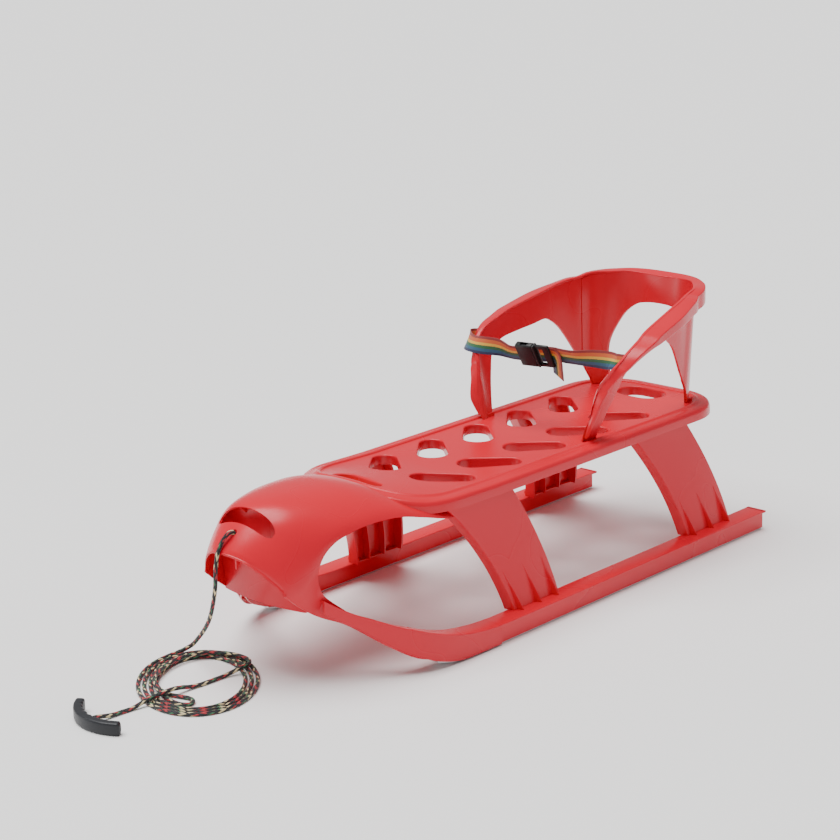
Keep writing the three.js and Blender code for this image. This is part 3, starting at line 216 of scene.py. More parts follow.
def add_piece(name, mesh, finish, body, slot, *nodes, crease=32):
    """The finished piece, on its body, in place of the plain solids that it stands for."""
    mesh.name = name
    mesh.materials.clear()
    mesh.materials.append(finish)
    mesh.shade_smooth()
    mesh.set_sharp_from_angle(angle=math.radians(crease))
    piece = linked(name, mesh)
    if body:
        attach(piece, body)
    if nodes:
        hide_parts(*nodes)
    return piece


def fill(tree, target, values):
    """Sets a node's inputs to numbers or colours, or wires them to other sockets."""
    for key, value in values.items():
        if isinstance(value, bpy.types.NodeSocket):
            tree.links.new(value, target.inputs[key])
        else:
            target.inputs[key].default_value = value


def node(tree, kind, values=None, **settings):
    """A shader or geometry node with its settings and inputs."""
    made = tree.nodes.new(kind)
    for key, value in settings.items():
        setattr(made, key, value)
    fill(tree, made, values or {})
    return made


def new_finish(name):
    material = bpy.data.materials.new(name)
    material.use_nodes = True
    tree = material.node_tree
    return material, tree, tree.nodes["Principled BSDF"]


def maths(tree, operation, *values):
    return node(tree, "ShaderNodeMath", dict(enumerate(values)), operation=operation).outputs[0]


def run_map(tree):
    """The places across and along a strip or cord, from its map."""
    uv = node(tree, "ShaderNodeUVMap", uv_map="run").outputs[0]
    return node(tree, "ShaderNodeSeparateXYZ", {0: uv}).outputs


def banded(tree, place, bands):
    """Flat bands of colour, each from its own stop on."""
    colours = node(tree, "ShaderNodeValToRGB", {0: place})
    ramp = colours.color_ramp
    ramp.interpolation = "CONSTANT"
    for i, (stop, colour) in enumerate(bands):
        point = ramp.elements[0] if i == 0 else ramp.elements.new(stop)
        point.position, point.color = stop, (*colour, 1)
    ramp.elements.remove(ramp.elements[-1])
    return colours.outputs[0]


def braided_cord():
    """Braid of eight strands each way, each over two and under two: black but for two cream,
    two red and a green one."""
    material, tree, shader = new_finish("braided cord")
    split = run_map(tree)
    each_way, lay = 8.0, 150.0
    share = 0.5 / each_way
    around = maths(tree, "MULTIPLY", split[0], each_way)
    slopes = [maths(tree, "MULTIPLY_ADD", split[1], slant, around) for slant in (lay, -lay)]
    cells = [maths(tree, "FLOOR", slope) for slope in slopes]
    order = maths(tree, "FLOORED_MODULO", maths(tree, "ADD", *cells), 4.0)
    first_over = maths(tree, "LESS_THAN", order, 1.5)
    ids = [maths(tree, "FLOORED_MODULO", cell, each_way) for cell in cells]
    second_id = maths(tree, "ADD", ids[1], each_way)
    strand = maths(tree, "MULTIPLY_ADD", maths(tree, "SUBTRACT", ids[0], second_id), first_over, second_id)
    parts = [maths(tree, "FRACT", slope) for slope in slopes]
    part = maths(tree, "MULTIPLY_ADD", maths(tree, "SUBTRACT", *parts), first_over, parts[1])
    ridge = maths(tree, "PINGPONG", part, 0.5)
    pick = maths(tree, "MULTIPLY_ADD", strand, share, share / 2)
    black, cream = (0.008, 0.008, 0.010), (0.80, 0.66, 0.36)
    red, green = (0.45, 0.02, 0.03), (0.03, 0.16, 0.07)
    strands = ((0, black), (1, cream), (2, black), (4, red), (5, black), (7, green), (8, black), (10, cream),
               (11, black), (14, red), (15, black))
    colours = banded(tree, pick, [(first * share, colour) for first, colour in strands])
    bump = node(tree, "ShaderNodeBump", {"Strength": 0.9, "Distance": 0.0012, "Height": ridge})
    fill(tree, shader, {"Base Color": colours, "Normal": bump.outputs[0], "Roughness": 0.62,
                        "Sheen Weight": 0.15})
    return material


coil_route = [coil_place(coil_turns * i / coil_steps) for i in range(coil_steps + 1)]
rope_places = [np.array(p) for p in (*lead_route, *coil_route, *end_route)]
rope_route = [rope_places[0]]
for spot in rope_places[1:]:
    if np.linalg.norm(spot - rope_route[-1]) > least_gap:
        rope_route.append(spot)
rope_points = [at(*p) for p in curve_through(rope_route, 4)]
rope_finish = braided_cord()
rope_mesh = loft("rope", round_section(rope_points, rope_diameter, rope_sides), run_uv=True)
rope = add_piece("rope", rope_mesh, rope_finish, "sled", "rope_cord",
                 "rope_lead", "rope_coil", "rope_end", crease=60)

# Pull handle: a bowed bar of charcoal plastic, moulded in one piece round the rope's end,
# with finger ribs on its inner side.
handle_centre, handle_turn = (-48.6, 1212), -0.063 * math.pi
handle_radius, handle_half_angle = 74, 0.262 * math.pi
handle_thickness, handle_end_thickness, handle_height = 14, 12.5, 18
handle_ribs, rib_drop, handle_steps = 9, 1.8, 108
handle_rib_end, handle_rib_fade, handle_tip, handle_corner = 0.75, 0.1, 0.93, 3.6


def rounded_corner(before, corner, after, radius, steps=3):
    """A short curve in a corner's place, on less than half of each edge."""
    p, a, b = (np.array(q, float) for q in (corner, before, after))
    ends = [p + (q - p) * min(radius / max(np.linalg.norm(q - p), 1e-9), 0.45) for q in (a, b)]
    return [(1 - t) ** 2 * ends[0] + 2 * t * (1 - t) * p + t * t * ends[1]
            for t in np.linspace(0, 1, steps + 1)]


def rounded(section, radius, steps=3):
    """A closed outline with each corner turned into a short curve."""
    out = []
    for i, corner in enumerate(section):
        out += rounded_corner(section[i - 1], corner, section[(i + 1) % len(section)], radius, steps)
    return out


def moulded_grain():
    """Group: a fine moulded grain and soft uneven gloss, as moulded plastic has."""
    tree = bpy.data.node_groups.new("moulded grain", "ShaderNodeTree")
    face = tree.interface
    for label, value in (("Grain Scale", 1400.0), ("Gloss", 0.3), ("Gloss Range", 0.03)):
        face.new_socket(label, in_out="INPUT", socket_type="NodeSocketFloat").default_value = value
    for label in ("Height", "Roughness", "Shade"):
        face.new_socket(label, in_out="OUTPUT", socket_type="NodeSocketFloat")
    given = tree.nodes.new("NodeGroupInput").outputs
    place = node(tree, "ShaderNodeTexCoord").outputs["Object"]
    grain = node(tree, "ShaderNodeTexNoise", {"Vector": place, "Scale": given[0], "Detail": 2.0})
    flow = node(tree, "ShaderNodeTexNoise", {"Vector": place, "Scale": 7.0, "Detail": 1.0})
    span = node(tree, "ShaderNodeMapRange", {0: flow.outputs[0], 1: 0.0, 2: 1.0, 3: -1.0, 4: 1.0})
    gloss = maths(tree, "MULTIPLY_ADD", span.outputs[0], given[2], given[1])
    node(tree, "NodeGroupOutput", {0: grain.outputs[0], 1: gloss, 2: flow.outputs[0]})
    return tree


grain_group = moulded_grain()


def two_tone(tree, share, first, second):
    """A mix of two colours, by share."""
    ends = {6: (*first, 1), 7: (*second, 1)}
    return node(tree, "ShaderNodeMix", {0: share, **ends}, data_type="RGBA").outputs[2]


def moulded_plastic(name, deep, light, gloss, grain, depth):
    material, tree, shader = new_finish(name)
    skin = node(tree, "ShaderNodeGroup", {"Grain Scale": grain, "Gloss": gloss}, node_tree=grain_group)
    tone = two_tone(tree, skin.outputs["Shade"], deep, light)
    bump = node(tree, "ShaderNodeBump",
                {"Strength": depth, "Distance": 0.0002, "Height": skin.outputs["Height"]})
    fill(tree, shader, {"Base Color": tone, "Roughness": skin.outputs["Roughness"],
                        "Normal": bump.outputs[0], "Specular IOR Level": 0.35})
    return material


def handle_ring(share):
    angle = share * handle_half_angle
    thick = handle_thickness + (handle_end_thickness - handle_thickness) * share ** 2
    groove = rib_drop * (0.5 - 0.5 * math.cos(2 * math.pi * handle_ribs * (share + 1) / 2))
    groove *= 1 - min(1, max(0, abs(share) - handle_rib_end) / handle_rib_fade)
    tip = max(0, (abs(share) - handle_tip) / (1 - handle_tip))
    end = math.sqrt(max(0.02, 1 - tip ** 2.4))
    inner, outer = -thick / 2 * end + groove * end, thick / 2 * end
    low, high = handle_height / 2 * (1 - end), handle_height / 2 * (1 + end)
    section = rounded([(inner, low), (inner, high), (outer, high), (outer, low)], handle_corner, 4)
    ring = []
    for r, z in section:
        x = (handle_radius + r) * math.sin(angle)
        y = handle_radius - (handle_radius + r) * math.cos(angle)
        turned = Matrix.Rotation(handle_turn, 2) @ Vector((x, y))
        ring.append(at(handle_centre[0] + turned.x, handle_centre[1] - turned.y, z))
    return ring


charcoal = moulded_plastic("charcoal plastic", (0.014, 0.015, 0.018), (0.022, 0.023, 0.028), 0.4, 900.0, 0.5)
handle_mesh = loft("pull_handle", [handle_ring(s) for s in np.linspace(-1, 1, handle_steps)])
pull_handle = add_piece("rope_handle", handle_mesh, charcoal, "sled", "handle_plastic", "pull_handle")

# Knot: the rope's inner end is tied in an overhand knot that can't slip through the nose.
knot_place, knot_tilt, knot_scale = (0, 972.15, 208.3), 0.24 * math.pi, 1.55
knot_lobe, knot_depth, knot_diameter = 1.9, 2.1, 0.0052


def knot_point(t):
    turned = Matrix.Rotation(knot_tilt, 3, "X") @ Vector((
        knot_scale * (math.sin(t) + knot_lobe * math.sin(2 * t)),
        knot_scale * (math.cos(t) - knot_lobe * math.cos(2 * t)),
        -knot_depth * knot_scale * math.sin(3 * t)))
    return at(*knot_place) + turned * MM


knot_points = [knot_point(t) for t in turns(72)]
knot_rings = round_section(knot_points, knot_diameter, rope_sides, at(*knot_place))
rope_knot = add_piece("knot", loft("knot", knot_rings, closed=True, run_uv=True), rope_finish,
                      "sled", "rope_cord", "rope_knot", crease=60)

# Rails: the body's two feet, a channel open downwards under a wide flange. Ahead of the
# straight part each one rises and draws in as the arm that carries the nose.
plastic_wall = 3.6
seat_height, nose_height, half_track = 214, 254, 190
rail_top, rail_bottom, flange_thickness = 30.6, 2.3, 3.2
flange_width, flange_overhang, channel_width, channel_wall = 34.4, 3.5, 24, 3
rail_straight, arm_reach, arm_top_rise, arm_bottom_rise = 640, 265, 87.4, 92
step_place = 652
screw_places, boss_place = np.linspace(34, 620, 4), half_track - flange_overhang - channel_width / 2
boss_profile = [(2.2, 4), (4.8, 4), (4.8, 28), (2.2, 28)]
arm_shares = [
    (0, 1, 0, 0, 1, 1), (0.16, 1, 0.03, 0, 1, 1), (0.35, 0.99, 0.12, 0.005, 0.93, 1),
    (0.49, 0.968, 0.235, 0.09, 0.87, 0.95), (0.6, 0.925, 0.36, 0.22, 0.79, 0.86),
    (0.7, 0.845, 0.475, 0.375, 0.7, 0.75), (0.79, 0.745, 0.61, 0.58, 0.6, 0.62),
    (0.875, 0.65, 0.735, 0.78, 0.5, 0.5), (0.945, 0.565, 0.87, 0.93, 0.42, 0.42),
    (1, 0.49, 1, 1.04, 0.36, 0.36),
]
arm_rows = curve_through(arm_shares, 6)
straight_row = arm_rows[0][1:]
red_plastic = moulded_plastic("red plastic", (0.64, 0.004, 0.020), (0.70, 0.006, 0.025), 0.27, 1500.0, 0.2)


def arm_place(along):
    return rail_straight + along * arm_reach


def arm_share(place):
    return (place - rail_straight) / arm_reach


def rail_ring(row, side, flush):
    along, half, top, bottom, flange, channel = row
    outer, top = half * half_track, rail_top + top * arm_top_rise
    bottom = rail_bottom + max(bottom, 0) * arm_bottom_rise
    under = top - flange_thickness
    wall_out = outer - (0.2 if flush else flange_overhang)
    wall_in = outer - flange_overhang - channel * channel_width
    flange_in = outer - flange * flange_width
    section = rounded([
        (outer, top), (outer, under), (wall_out, under), (wall_out, bottom),
        (wall_out - channel_wall, bottom), (wall_out - channel_wall, under),
        (wall_in + channel_wall, under), (wall_in + channel_wall, bottom), (wall_in, bottom),
        (wall_in, under), (flange_in, under), (flange_in, top),
    ], 1.1, 2)
    return [at(side * x, arm_place(along), z) for x, z in section]


def rail_rings(side):
    """The rail's outlines from its rear end. From the step on, its outer wall is flush."""
    rows = [((arm_share(place), *straight_row), False) for place in (4, 4.8, *np.linspace(30, 620, 12))]
    for row in arm_rows:
        past = arm_place(row[0]) > step_place
        if past and not rows[-1][1]:
            rows += [((arm_share(step_place + more), *row[1:]), more > 0) for more in (0, 0.4)]
        rows.append((row, past))
    return [rail_ring(row, side, flush) for row, flush in rows]


def joined(name, meshes):
    """One mesh from several."""
    skin = bmesh.new()
    for part in meshes:
        skin.from_mesh(part)
    mesh = bpy.data.meshes.new(name)
    skin.to_mesh(mesh)
    skin.free()
    return mesh


def slab(low, high, radius=0.8):
    """A block with softened long edges, from its lowest to its highest corner."""
    (x0, y0, z0), (x1, y1, z1) = low, high
    section = rounded([(x0, z0), (x1, z0), (x1, z1), (x0, z1)], radius, 2)
    return loft("slab", [[at(x, y, z) for x, z in section] for y in (y0, y1)])


def lathe(profile, sides, axis_place, stretch=(1, 1, 1), closed=False):
    """A turned shape: (radius, height) pairs about an upright line through a place, stretched."""
    rings = [[Vector((x, y, z)) * MM for x, y in arc((0, 0), r, turns(sides))] for r, z in profile]
    shape = Matrix.Diagonal(stretch)
    return loft("turned", [[shape @ p + at(*axis_place) for p in ring] for ring in rings], closed)


rail_parts = []
for side in (-1, 1):
    rail_parts.append(loft("rail", rail_rings(side)))
    tongue = sorted((side * half_track, side * (half_track - flange_width)))
    rail_parts.append(slab((tongue[0], 0, rail_top - flange_thickness), (tongue[1], 6, rail_top)))
    middle = side * boss_place
    for spot in screw_places:
        rail_parts.append(lathe(boss_profile, 20, (middle, spot, 0), closed=True))
add_piece("rails", joined("rails", rail_parts), red_plastic, "sled", "red_plastic", "sled_body")

# Nose: an arched shell that grows out of the deck's front edge, opens at both sides above
# the arms, and ends in a lip with a hand slot and the rope's hole.
hood_start, hood_half_width, nose_bow, hood_arch_power = 690, 137, 35, 2.4
hood_shares = [
    (-0.08, 0.955, 0.75, 0.811, 1, 0.035, 0, 1), (0, 0.975, 0.764, 0.811, 1, 0.035, 0, 1),
    (0.161, 0.905, 0.811, 0.88, 0.989, 0.038, 0, 1), (0.252, 0.857, 0.837, 0.94, 0.97, 0.055, 0, 1),
    (0.371, 0.814, 0.85, 0.978, 0.922, 0.094, 0, 1), (0.484, 0.781, 0.847, 0.992, 0.79, 0.185, 0, 1),
    (0.594, 0.752, 0.827, 0.994, 0.585, 0.295, 0.06, 1.1),
    (0.694, 0.719, 0.768, 0.99, 0.45, 0.352, 0.2, 1.3),
    (0.784, 0.693, 0.661, 0.976, 0.44, 0.411, 0.34, 1.6),
    (0.839, 0.672, 0.598, 0.95, 0.437, 0.448, 0.49, 1.7),
    (0.894, 0.642, 0.565, 0.89, 0.434, 0.486, 0.63, 1.65),
    (0.952, 0.605, 0.568, 0.822, 0.432, 0.522, 0.83, 1.35), (1, 0.563, 0.571, 0.757, 0.429, 0.547, 1, 1),
]
window_shares = [
    (-0.129, 0.74), (0, 0.74), (0.161, 0.787), (0.258, 0.815), (0.371, 0.827), (0.484, 0.823),
    (0.561, 0.807), (0.629, 0.78), (0.694, 0.717), (0.719, 0.65), (0.716, 0.583), (0.684, 0.496),
    (0.6, 0.386), (0.516, 0.276), (0.355, 0.17), (0.135, 0.085), (0, 0.06), (-0.129, 0.06),
]
hand_slot = {"place": (0, 958, 234.5), "width": 106, "opening": 25, "droop": 11, "tilt": 0.26 * math.pi}
rope_hole = {"place": (0, 978, 216), "radius": 4.5, "tilt": 0.24 * math.pi}
hood_span = sled_length - hood_start
nose_rib_start, inner_wall_share, inner_wall_foot = 0.45, 0.8, 104
nose_rib_places, nose_rib_depth, rib_wall, wall_bite = (-20, 20), 15.6, 3, 2


def evenly(points, count=0, spacing=0):
    """A line at even steps: by the count of its points, or by their spacing and without the last."""
    run = np.concatenate(([0], np.cumsum(np.linalg.norm(np.diff(points, axis=0), axis=1))))
    even = np.linspace(0, run[-1], count or int(run[-1] / spacing), endpoint=bool(count))
    return np.stack([np.interp(even, run, points[:, k]) for k in (0, 1)], 1)


def rightwards(outline):
    """Unit steps to the right of an outline's way, at each of its points."""
    way = np.gradient(outline, axis=0)
    return np.stack([way[:, 1], -way[:, 0]], 1) / np.linalg.norm(way, axis=1)[:, None]


def smooth_ring(points, count, passes):
    """An open outline at even steps, with its corners relaxed."""
    line = evenly(points, count)
    for _ in range(passes):
        line[1:-1] = 0.25 * line[:-2] + 0.5 * line[1:-1] + 0.25 * line[2:]
    return line


def hood_top(row, across):
    """Height of the arch at a share of its half width."""
    shoulder, crown, roundness = row[2], row[3], row[7]
    lift = max(0.0, 1 - abs(across) ** hood_arch_power) ** (1 / roundness)
    return shoulder * nose_height + (crown - shoulder) * nose_height * lift


def hood_place(row, across):
    """Place of the shell along the sled: it lags behind the middle towards both cheeks."""
    along, bow = row[0], row[6]
    return hood_start + along * hood_span - bow * nose_bow * min(1, abs(across)) ** 2


def hood_ring(row, thin=0.0, ahead=0.0):
    half, shoulder, _, foot, foot_height = row[1:6]
    x_shoulder, z_shoulder = half * hood_half_width, shoulder * nose_height
    x_foot, z_foot = foot * (half_track - flange_overhang), foot_height * nose_height
    wall = [(x_foot + (x_shoulder - x_foot) * t, z_foot + (z_shoulder - z_foot) * t)
            for t in np.linspace(0, 1, 20, endpoint=False)]
    arch = [(t * x_shoulder, hood_top(row, t)) for t in np.cos(np.linspace(0, math.pi, 61))]
    outer = smooth_ring(np.array([*wall, *arch, *((-x, z) for x, z in reversed(wall))]), 121, 8)
    inner = outer - rightwards(outer) * plastic_wall
    middle = (outer + inner) / 2
    outer, inner = outer + (middle - outer) * thin, inner + (middle - inner) * thin
    return [at(x, hood_place(row, x / x_shoulder) + ahead, z) for x, z in [*outer, *inner[::-1]]]


def taken(shaped, *tools):
    """The mesh that an object's modifiers make. The object and its tools are removed."""
    result = bpy.data.meshes.new_from_object(shaped.evaluated_get(bpy.context.evaluated_depsgraph_get()))
    for spare in (shaped, *tools):
        bpy.data.objects.remove(spare)
    return result


def carve(mesh, cutters):
    """The mesh with the cutters' shapes taken out of it."""
    block = linked("block", mesh)
    tools = [linked("tool", cutter) for cutter in cutters]
    for tool in tools:
        cut = block.modifiers.new("cut", "BOOLEAN")
        cut.operation, cut.solver, cut.object = "DIFFERENCE", "EXACT", tool
    return taken(block, *tools)


def side_cutter(outline, reach):
    """An outline in side view, drawn out to both sides."""
    return loft("cutter", [[at(x, place, z) for place, z in outline] for x in reach])


def hood_line(x):
    """The hood's outer face at one side position, from the ribs' start to the lip."""
    rows = [row for row in hood_rows if row[0] > nose_rib_start]
    shares = [x / (row[1] * hood_half_width) for row in rows]
    return [(hood_place(row, share), hood_top(row, share)) for row, share in zip(rows, shares)]


def inner_wall():
    """The wall behind the hand slot, bowed like the lip, from one cheek to the other."""
    row = min(hood_rows, key=lambda r: abs(r[0] - inner_wall_share))
    half, shoulder, _, foot = row[1:5]
    reach = half * hood_half_width - wall_bite
    x_foot = foot * (half_track - flange_overhang) - wall_bite
    rings = []
    for t in np.cos(np.linspace(0, math.pi, 49)):
        top = hood_top(row, t) - wall_bite
        rise = max(0.0, (abs(t) * reach - x_foot) / (reach - x_foot))
        low = min(inner_wall_foot + (shoulder * nose_height - inner_wall_foot) * rise, top - 0.4)
        rings.append([at(t * reach, hood_place(row, t) - depth, z)
                      for depth, z in ((0, low), (0, top), (rib_wall, top), (rib_wall, low))])
    return loft("inner wall", rings)


def nose_cutter(outline, spot, depth=17):
    turn = Matrix.Rotation(spot["tilt"], 3, "X")
    rings = [[turn @ (Vector((x, y, z)) * MM) + at(*spot["place"]) for x, y in outline]
             for z in (-depth, depth)]
    return loft("cutter", rings)


def slot_outline():
    edges = []
    for sign in (-1, 1):
        edge = []
        for a in np.linspace(0, math.pi, 41):
            across = -math.cos(a)
            half = hand_slot["opening"] / 2 * math.sqrt(max(0, 1 - across ** 6))
            edge.append((across * hand_slot["width"] / 2, sign * half - hand_slot["droop"] * across ** 2))
        edges.append(edge)
    return [*edges[0], *edges[1][-2:0:-1]]


hood_rows = curve_through(hood_shares, 5)
hood_rings = [hood_ring(row) for row in hood_rows[:-1]]
hood_rings += [hood_ring(hood_rows[-1], thin, ahead) for thin, ahead in ((0, -1.4), (0.3, -0.3), (0.8, 0))]
window = [(hood_start + a * hood_span, h * nose_height) for a, h in curve_through(window_shares, 8)]
circle = arc((0, 0), rope_hole["radius"], turns(24))
nose_cutters = [nose_cutter(slot_outline(), hand_slot), nose_cutter(circle, rope_hole)]
hood_mesh = carve(loft("hood", hood_rings), [side_cutter(window, (-210, 210)), *nose_cutters])
hood_parts = [hood_mesh, inner_wall()]
for x in nose_rib_places:
    line = [(place - wall_bite, z - wall_bite) for place, z in hood_line(x)]
    outline = [*line, *((place, z - nose_rib_depth) for place, z in reversed(line))]
    rib = side_cutter(outline, (x - rib_wall / 2, x + rib_wall / 2))
    hood_parts.append(carve(rib, [nose_cutter(slot_outline(), hand_slot, 60)]))
add_piece("nose", joined("nose", hood_parts), red_plastic, "sled", "red_plastic", "sled_body")

# Deck: a flat plate inside a rolled rim whose skirt hangs down all round, pierced by slanted
# drain holes with deep collars.
deck_rear, deck_front, deck_half_width = 16, 781, 134
rear_corner, front_corner, plate_inset = 90, 108, 22.5
front_rise, front_rise_start, front_rise_power, front_fall = 21.6, 590, 1.3, 0.75
rim_rise, rim_inset, skirt_depth = 2.5, 16, 18
rim_shares = [(0, -1), (0.015, -0.6), (0.06, -0.3), (0.2, -0.1), (0.5, -0.02), (1, 0.1), (1.35, 1),
              (1.55, 0.9), (1.72, -0.09)]
drop_pitch, first_drop, drop_slant = 102.7, 211, 19
drop_inner, drop_outer = (40, 23), (77, 18.5)
end_holes = [((15, 80), 27, (-15, 80), 27), ((-29, 736), 16, (35, 738), 8.5)]
collar_lip, collar_wall, collar_depth = 2.4, 2.6, 15
pin_holes, pin_radius = [(98, 354), (112, 303)], 1.3
rise_grid, rise_grid_gap = (np.arange(-104, 105, 8), np.arange(594, 760, 7)), 5


def seat_rise(x, from_rear):
    along = max(0, from_rear - front_rise_start) / (deck_front - rim_inset - front_rise_start)
    across = 1 - front_fall * min(1, abs(x) / (deck_half_width - rim_inset)) ** 2
    return front_rise * along ** front_rise_power * across


def deck_outline(inset, spacing=9):
    """Rounded outline of the deck as (across, ahead of the rear end), evenly stepped."""
    x, rear, front = deck_half_width - inset, deck_rear + inset, deck_front - inset
    corners = [(x, rear, rear_corner - inset, -90, 0), (x, front, front_corner - inset, 0, 90)]
    half = [(0.0, rear)]
    for cx, cy, r, start, end in corners:
        centre = (cx - r, cy + r if start < 0 else cy - r)
        half += arc(centre, r, np.radians(np.linspace(start, end, 24)))
    half.append((0.0, front))
    loop = np.array([*half, *((-x, y) for x, y in half[-2:0:-1]), half[0]])
    return evenly(loop, spacing=spacing)


def two_discs(first, r1, second, r2):
    """Outline round two discs."""
    turn = math.atan2(second[1] - first[1], second[0] - first[0])
    wide = math.acos((r1 - r2) / math.hypot(second[0] - first[0], second[1] - first[1]))
    big = np.linspace(turn + wide, turn - wide + 2 * math.pi, 28)
    small = np.linspace(turn - wide, turn + wide, 20)
    return arc(first, r1, big) + arc(second, r2, small)


def drain_holes(grow):
    loops = []
    for i in range(5):
        place = first_drop + i * drop_pitch
        for side in (-1, 1):
            loops.append(two_discs((side * drop_inner[0], place + drop_slant), drop_inner[1] + grow,
                                   (side * drop_outer[0], place - drop_slant), drop_outer[1] + grow))
    loops += [two_discs(first, r1 + grow, second, r2 + grow) for first, r1, second, r2 in end_holes]
    return loops


def inside(point, loop):
    x, y = point
    crossings = 0
    for (x1, y1), (x2, y2) in zip(loop, [*loop[1:], loop[0]]):
        if (y1 > y) != (y2 > y) and x < (x2 - x1) * (y - y1) / (y2 - y1) + x1:
            crossings += 1
    return crossings % 2 == 1


def deck_plate():
    pins = [arc((x, y), pin_radius, turns(8)) for px, y in pin_holes for x in (px, -px)]
    border = deck_outline(plate_inset)
    holes = [*drain_holes(collar_lip), *pins]
    points, edges = [], []
    for loop in (border, *holes):
        start = len(points)
        points += [Vector(p) for p in loop]
        edges += [(start + i, start + (i + 1) % len(loop)) for i in range(len(loop))]
    rims = np.array(points)
    for y in rise_grid[1]:
        for x in rise_grid[0]:
            if np.min(np.hypot(*(rims - (x, y)).T)) > rise_grid_gap:
                points.append(Vector((x, y)))
    flat, _, faces, *_ = delaunay_2d_cdt(points, edges, [], 0, 1e-5)
    kept = []
    for face in faces:
        middle = sum((flat[i] for i in face), Vector((0, 0))) / len(face)
        if inside(middle, border) and not any(inside(middle, hole) for hole in holes):
            kept.append(face)
    mesh = bpy.data.meshes.new("plate")
    mesh.from_pydata([at(p.x, p.y, seat_height + seat_rise(p.x, p.y)) for p in flat], [], kept)
    skin = bmesh.new()
    skin.from_mesh(mesh)
    bmesh.ops.delete(skin, geom=[v for v in skin.verts if not v.link_faces], context="VERTS")
    for face in skin.faces:
        if face.normal.z < 0:
            face.normal_flip()
    skin.to_mesh(mesh)
    skin.free()
    plate = linked("plate", mesh)
    wall = plate.modifiers.new("wall", "SOLIDIFY")
    wall.thickness, wall.offset = plastic_wall * MM, -1
    return taken(plate)


def collars():
    """Rounded lips and deep walls round the drain holes."""
    lip = [(collar_lip * (1 - math.sin(a)), collar_lip * (math.cos(a) - 1))
           for a in np.linspace(0, math.pi / 2, 6)]
    section = [(collar_lip + 1.2, 0.06), *((g, z + 0.06) for g, z in lip), (0, -collar_depth),
               (collar_wall, -collar_depth), (collar_wall, -plastic_wall / 2)]
    layers = [drain_holes(grow) for grow, _ in section]
    made = []
    for k in range(len(layers[0])):
        rings = [[at(x, y, seat_height + seat_rise(x, y) + drop) for x, y in layers[i][k]]
                 for i, (_, drop) in enumerate(section)]
        made.append(loft("collar", rings, closed=True))
    return made


def deck_rim():
    outer = np.array([(inward * rim_inset, up * (skirt_depth if up < 0 else rim_rise))
                      for inward, up in curve_through(rim_shares, 4)])
    section = [*outer, *(outer + rightwards(outer) * plastic_wall)[::-1]]
    border = np.array(deck_outline(0, 7))
    run = np.roll(border, -1, 0) - np.roll(border, 1, 0)
    run /= np.linalg.norm(run, axis=1)[:, None]
    rings = []
    for (x, y), (ax, ay) in zip(border, run):
        ring = []
        for inward, up in section:
            px, py = x - ay * inward, y + ax * inward
            ring.append(at(px, py, seat_height + up + seat_rise(px, py)))
        rings.append(ring)
    return loft("rim", rings, closed=True)


deck_mesh = joined("deck", [deck_plate(), *collars()])
add_piece("deck", deck_mesh, red_plastic, "sled", "red_plastic", "sled_body")
add_piece("deck_rim", deck_rim(), red_plastic, "sled", "red_plastic", "sled_body", crease=50)

# Legs: four channels open inwards that lean forwards and in from the rails to the deck, with
# fins at their feet.
leg_top, leg_top_x, leg_flare, leg_flare_power, leg_wall_depth = 207, 130.5, 36.5, 1.15, 20
legs = [(67, 112, 94, 75), (496, 101, 105.5, 65.5)]
fin_rise, fin_reach, fin_width, fin_shares = 58, 10, 8, (0.12, 0.5, 0.9)
leg_corner, leg_sink, leg_bite = 3, 1.6, 1.8
leg_rib_half, leg_rib_reach, leg_rib_shares = 1.5, 12, (0.35, 0.68)
leg_height = leg_top - rail_top


def lean(share):
    return 0.35 * share + 0.65 * share ** 2


def leg_section(leg, share):
    base, length, front_lean, rear_lean = leg
    return (leg_top_x + leg_flare * (1 - share) ** leg_flare_power,
            base + length + front_lean * lean(share), base + rear_lean * lean(share))


def leg_parts(leg, side):
    shell, ribs = [], [[], []]
    for share in np.linspace(0, 1, 25):
        x, front, rear = leg_section(leg, share)
        z = rail_top - leg_sink + share * (leg_height + leg_sink)
        face, deep = x - plastic_wall, x - leg_wall_depth
        outline = [*rounded_corner((deep, front), (x, front), (x, rear), leg_corner),
                   *rounded_corner((x, front), (x, rear), (deep, rear), leg_corner),
                   (deep, rear), (deep, rear + plastic_wall), (face, rear + plastic_wall),
                   (face, front - plastic_wall), (deep, front - plastic_wall), (deep, front)]
        shell.append([at(side * px, py, z) for px, py in outline])
        for rib, rib_share in zip(ribs, leg_rib_shares):
            place, half = rear + (front - rear) * rib_share, leg_rib_half
            rib.append([at(side * px, place + py, z) for px, py in (
                (x - leg_bite, half), (x - leg_bite, -half),
                (face - leg_rib_reach, -half), (face - leg_rib_reach, half))])
    fins = []
    for fin_share in fin_shares:
        rings = []
        for up in np.linspace(0, 1, 9):
            x, front, rear = leg_section(leg, up * fin_rise / leg_height)
            place = rear + (front - rear) * fin_share
            reach, half = fin_reach * (1 - up) ** 1.4, fin_width / 2 * (1 - 0.6 * up)
            z = rail_top - leg_sink + up * (fin_rise + leg_sink)
            edge = [(x - leg_bite, half), (x + reach * 0.55, half * 0.45), (x + reach, half * 0.12)]
            rings.append([at(side * px, place + py, z)
                          for px, py in [*edge, *((px, -py) for px, py in reversed(edge))]])
        fins.append(loft("fin", rings))
    return [loft("leg", shell), *(loft("rib", rib) for rib in ribs), *fins]


leg_meshes = [part for leg in legs for side in (-1, 1) for part in leg_parts(leg, side)]
add_piece("legs", joined("legs", leg_meshes), red_plastic, "sled", "red_plastic", "sled_body")

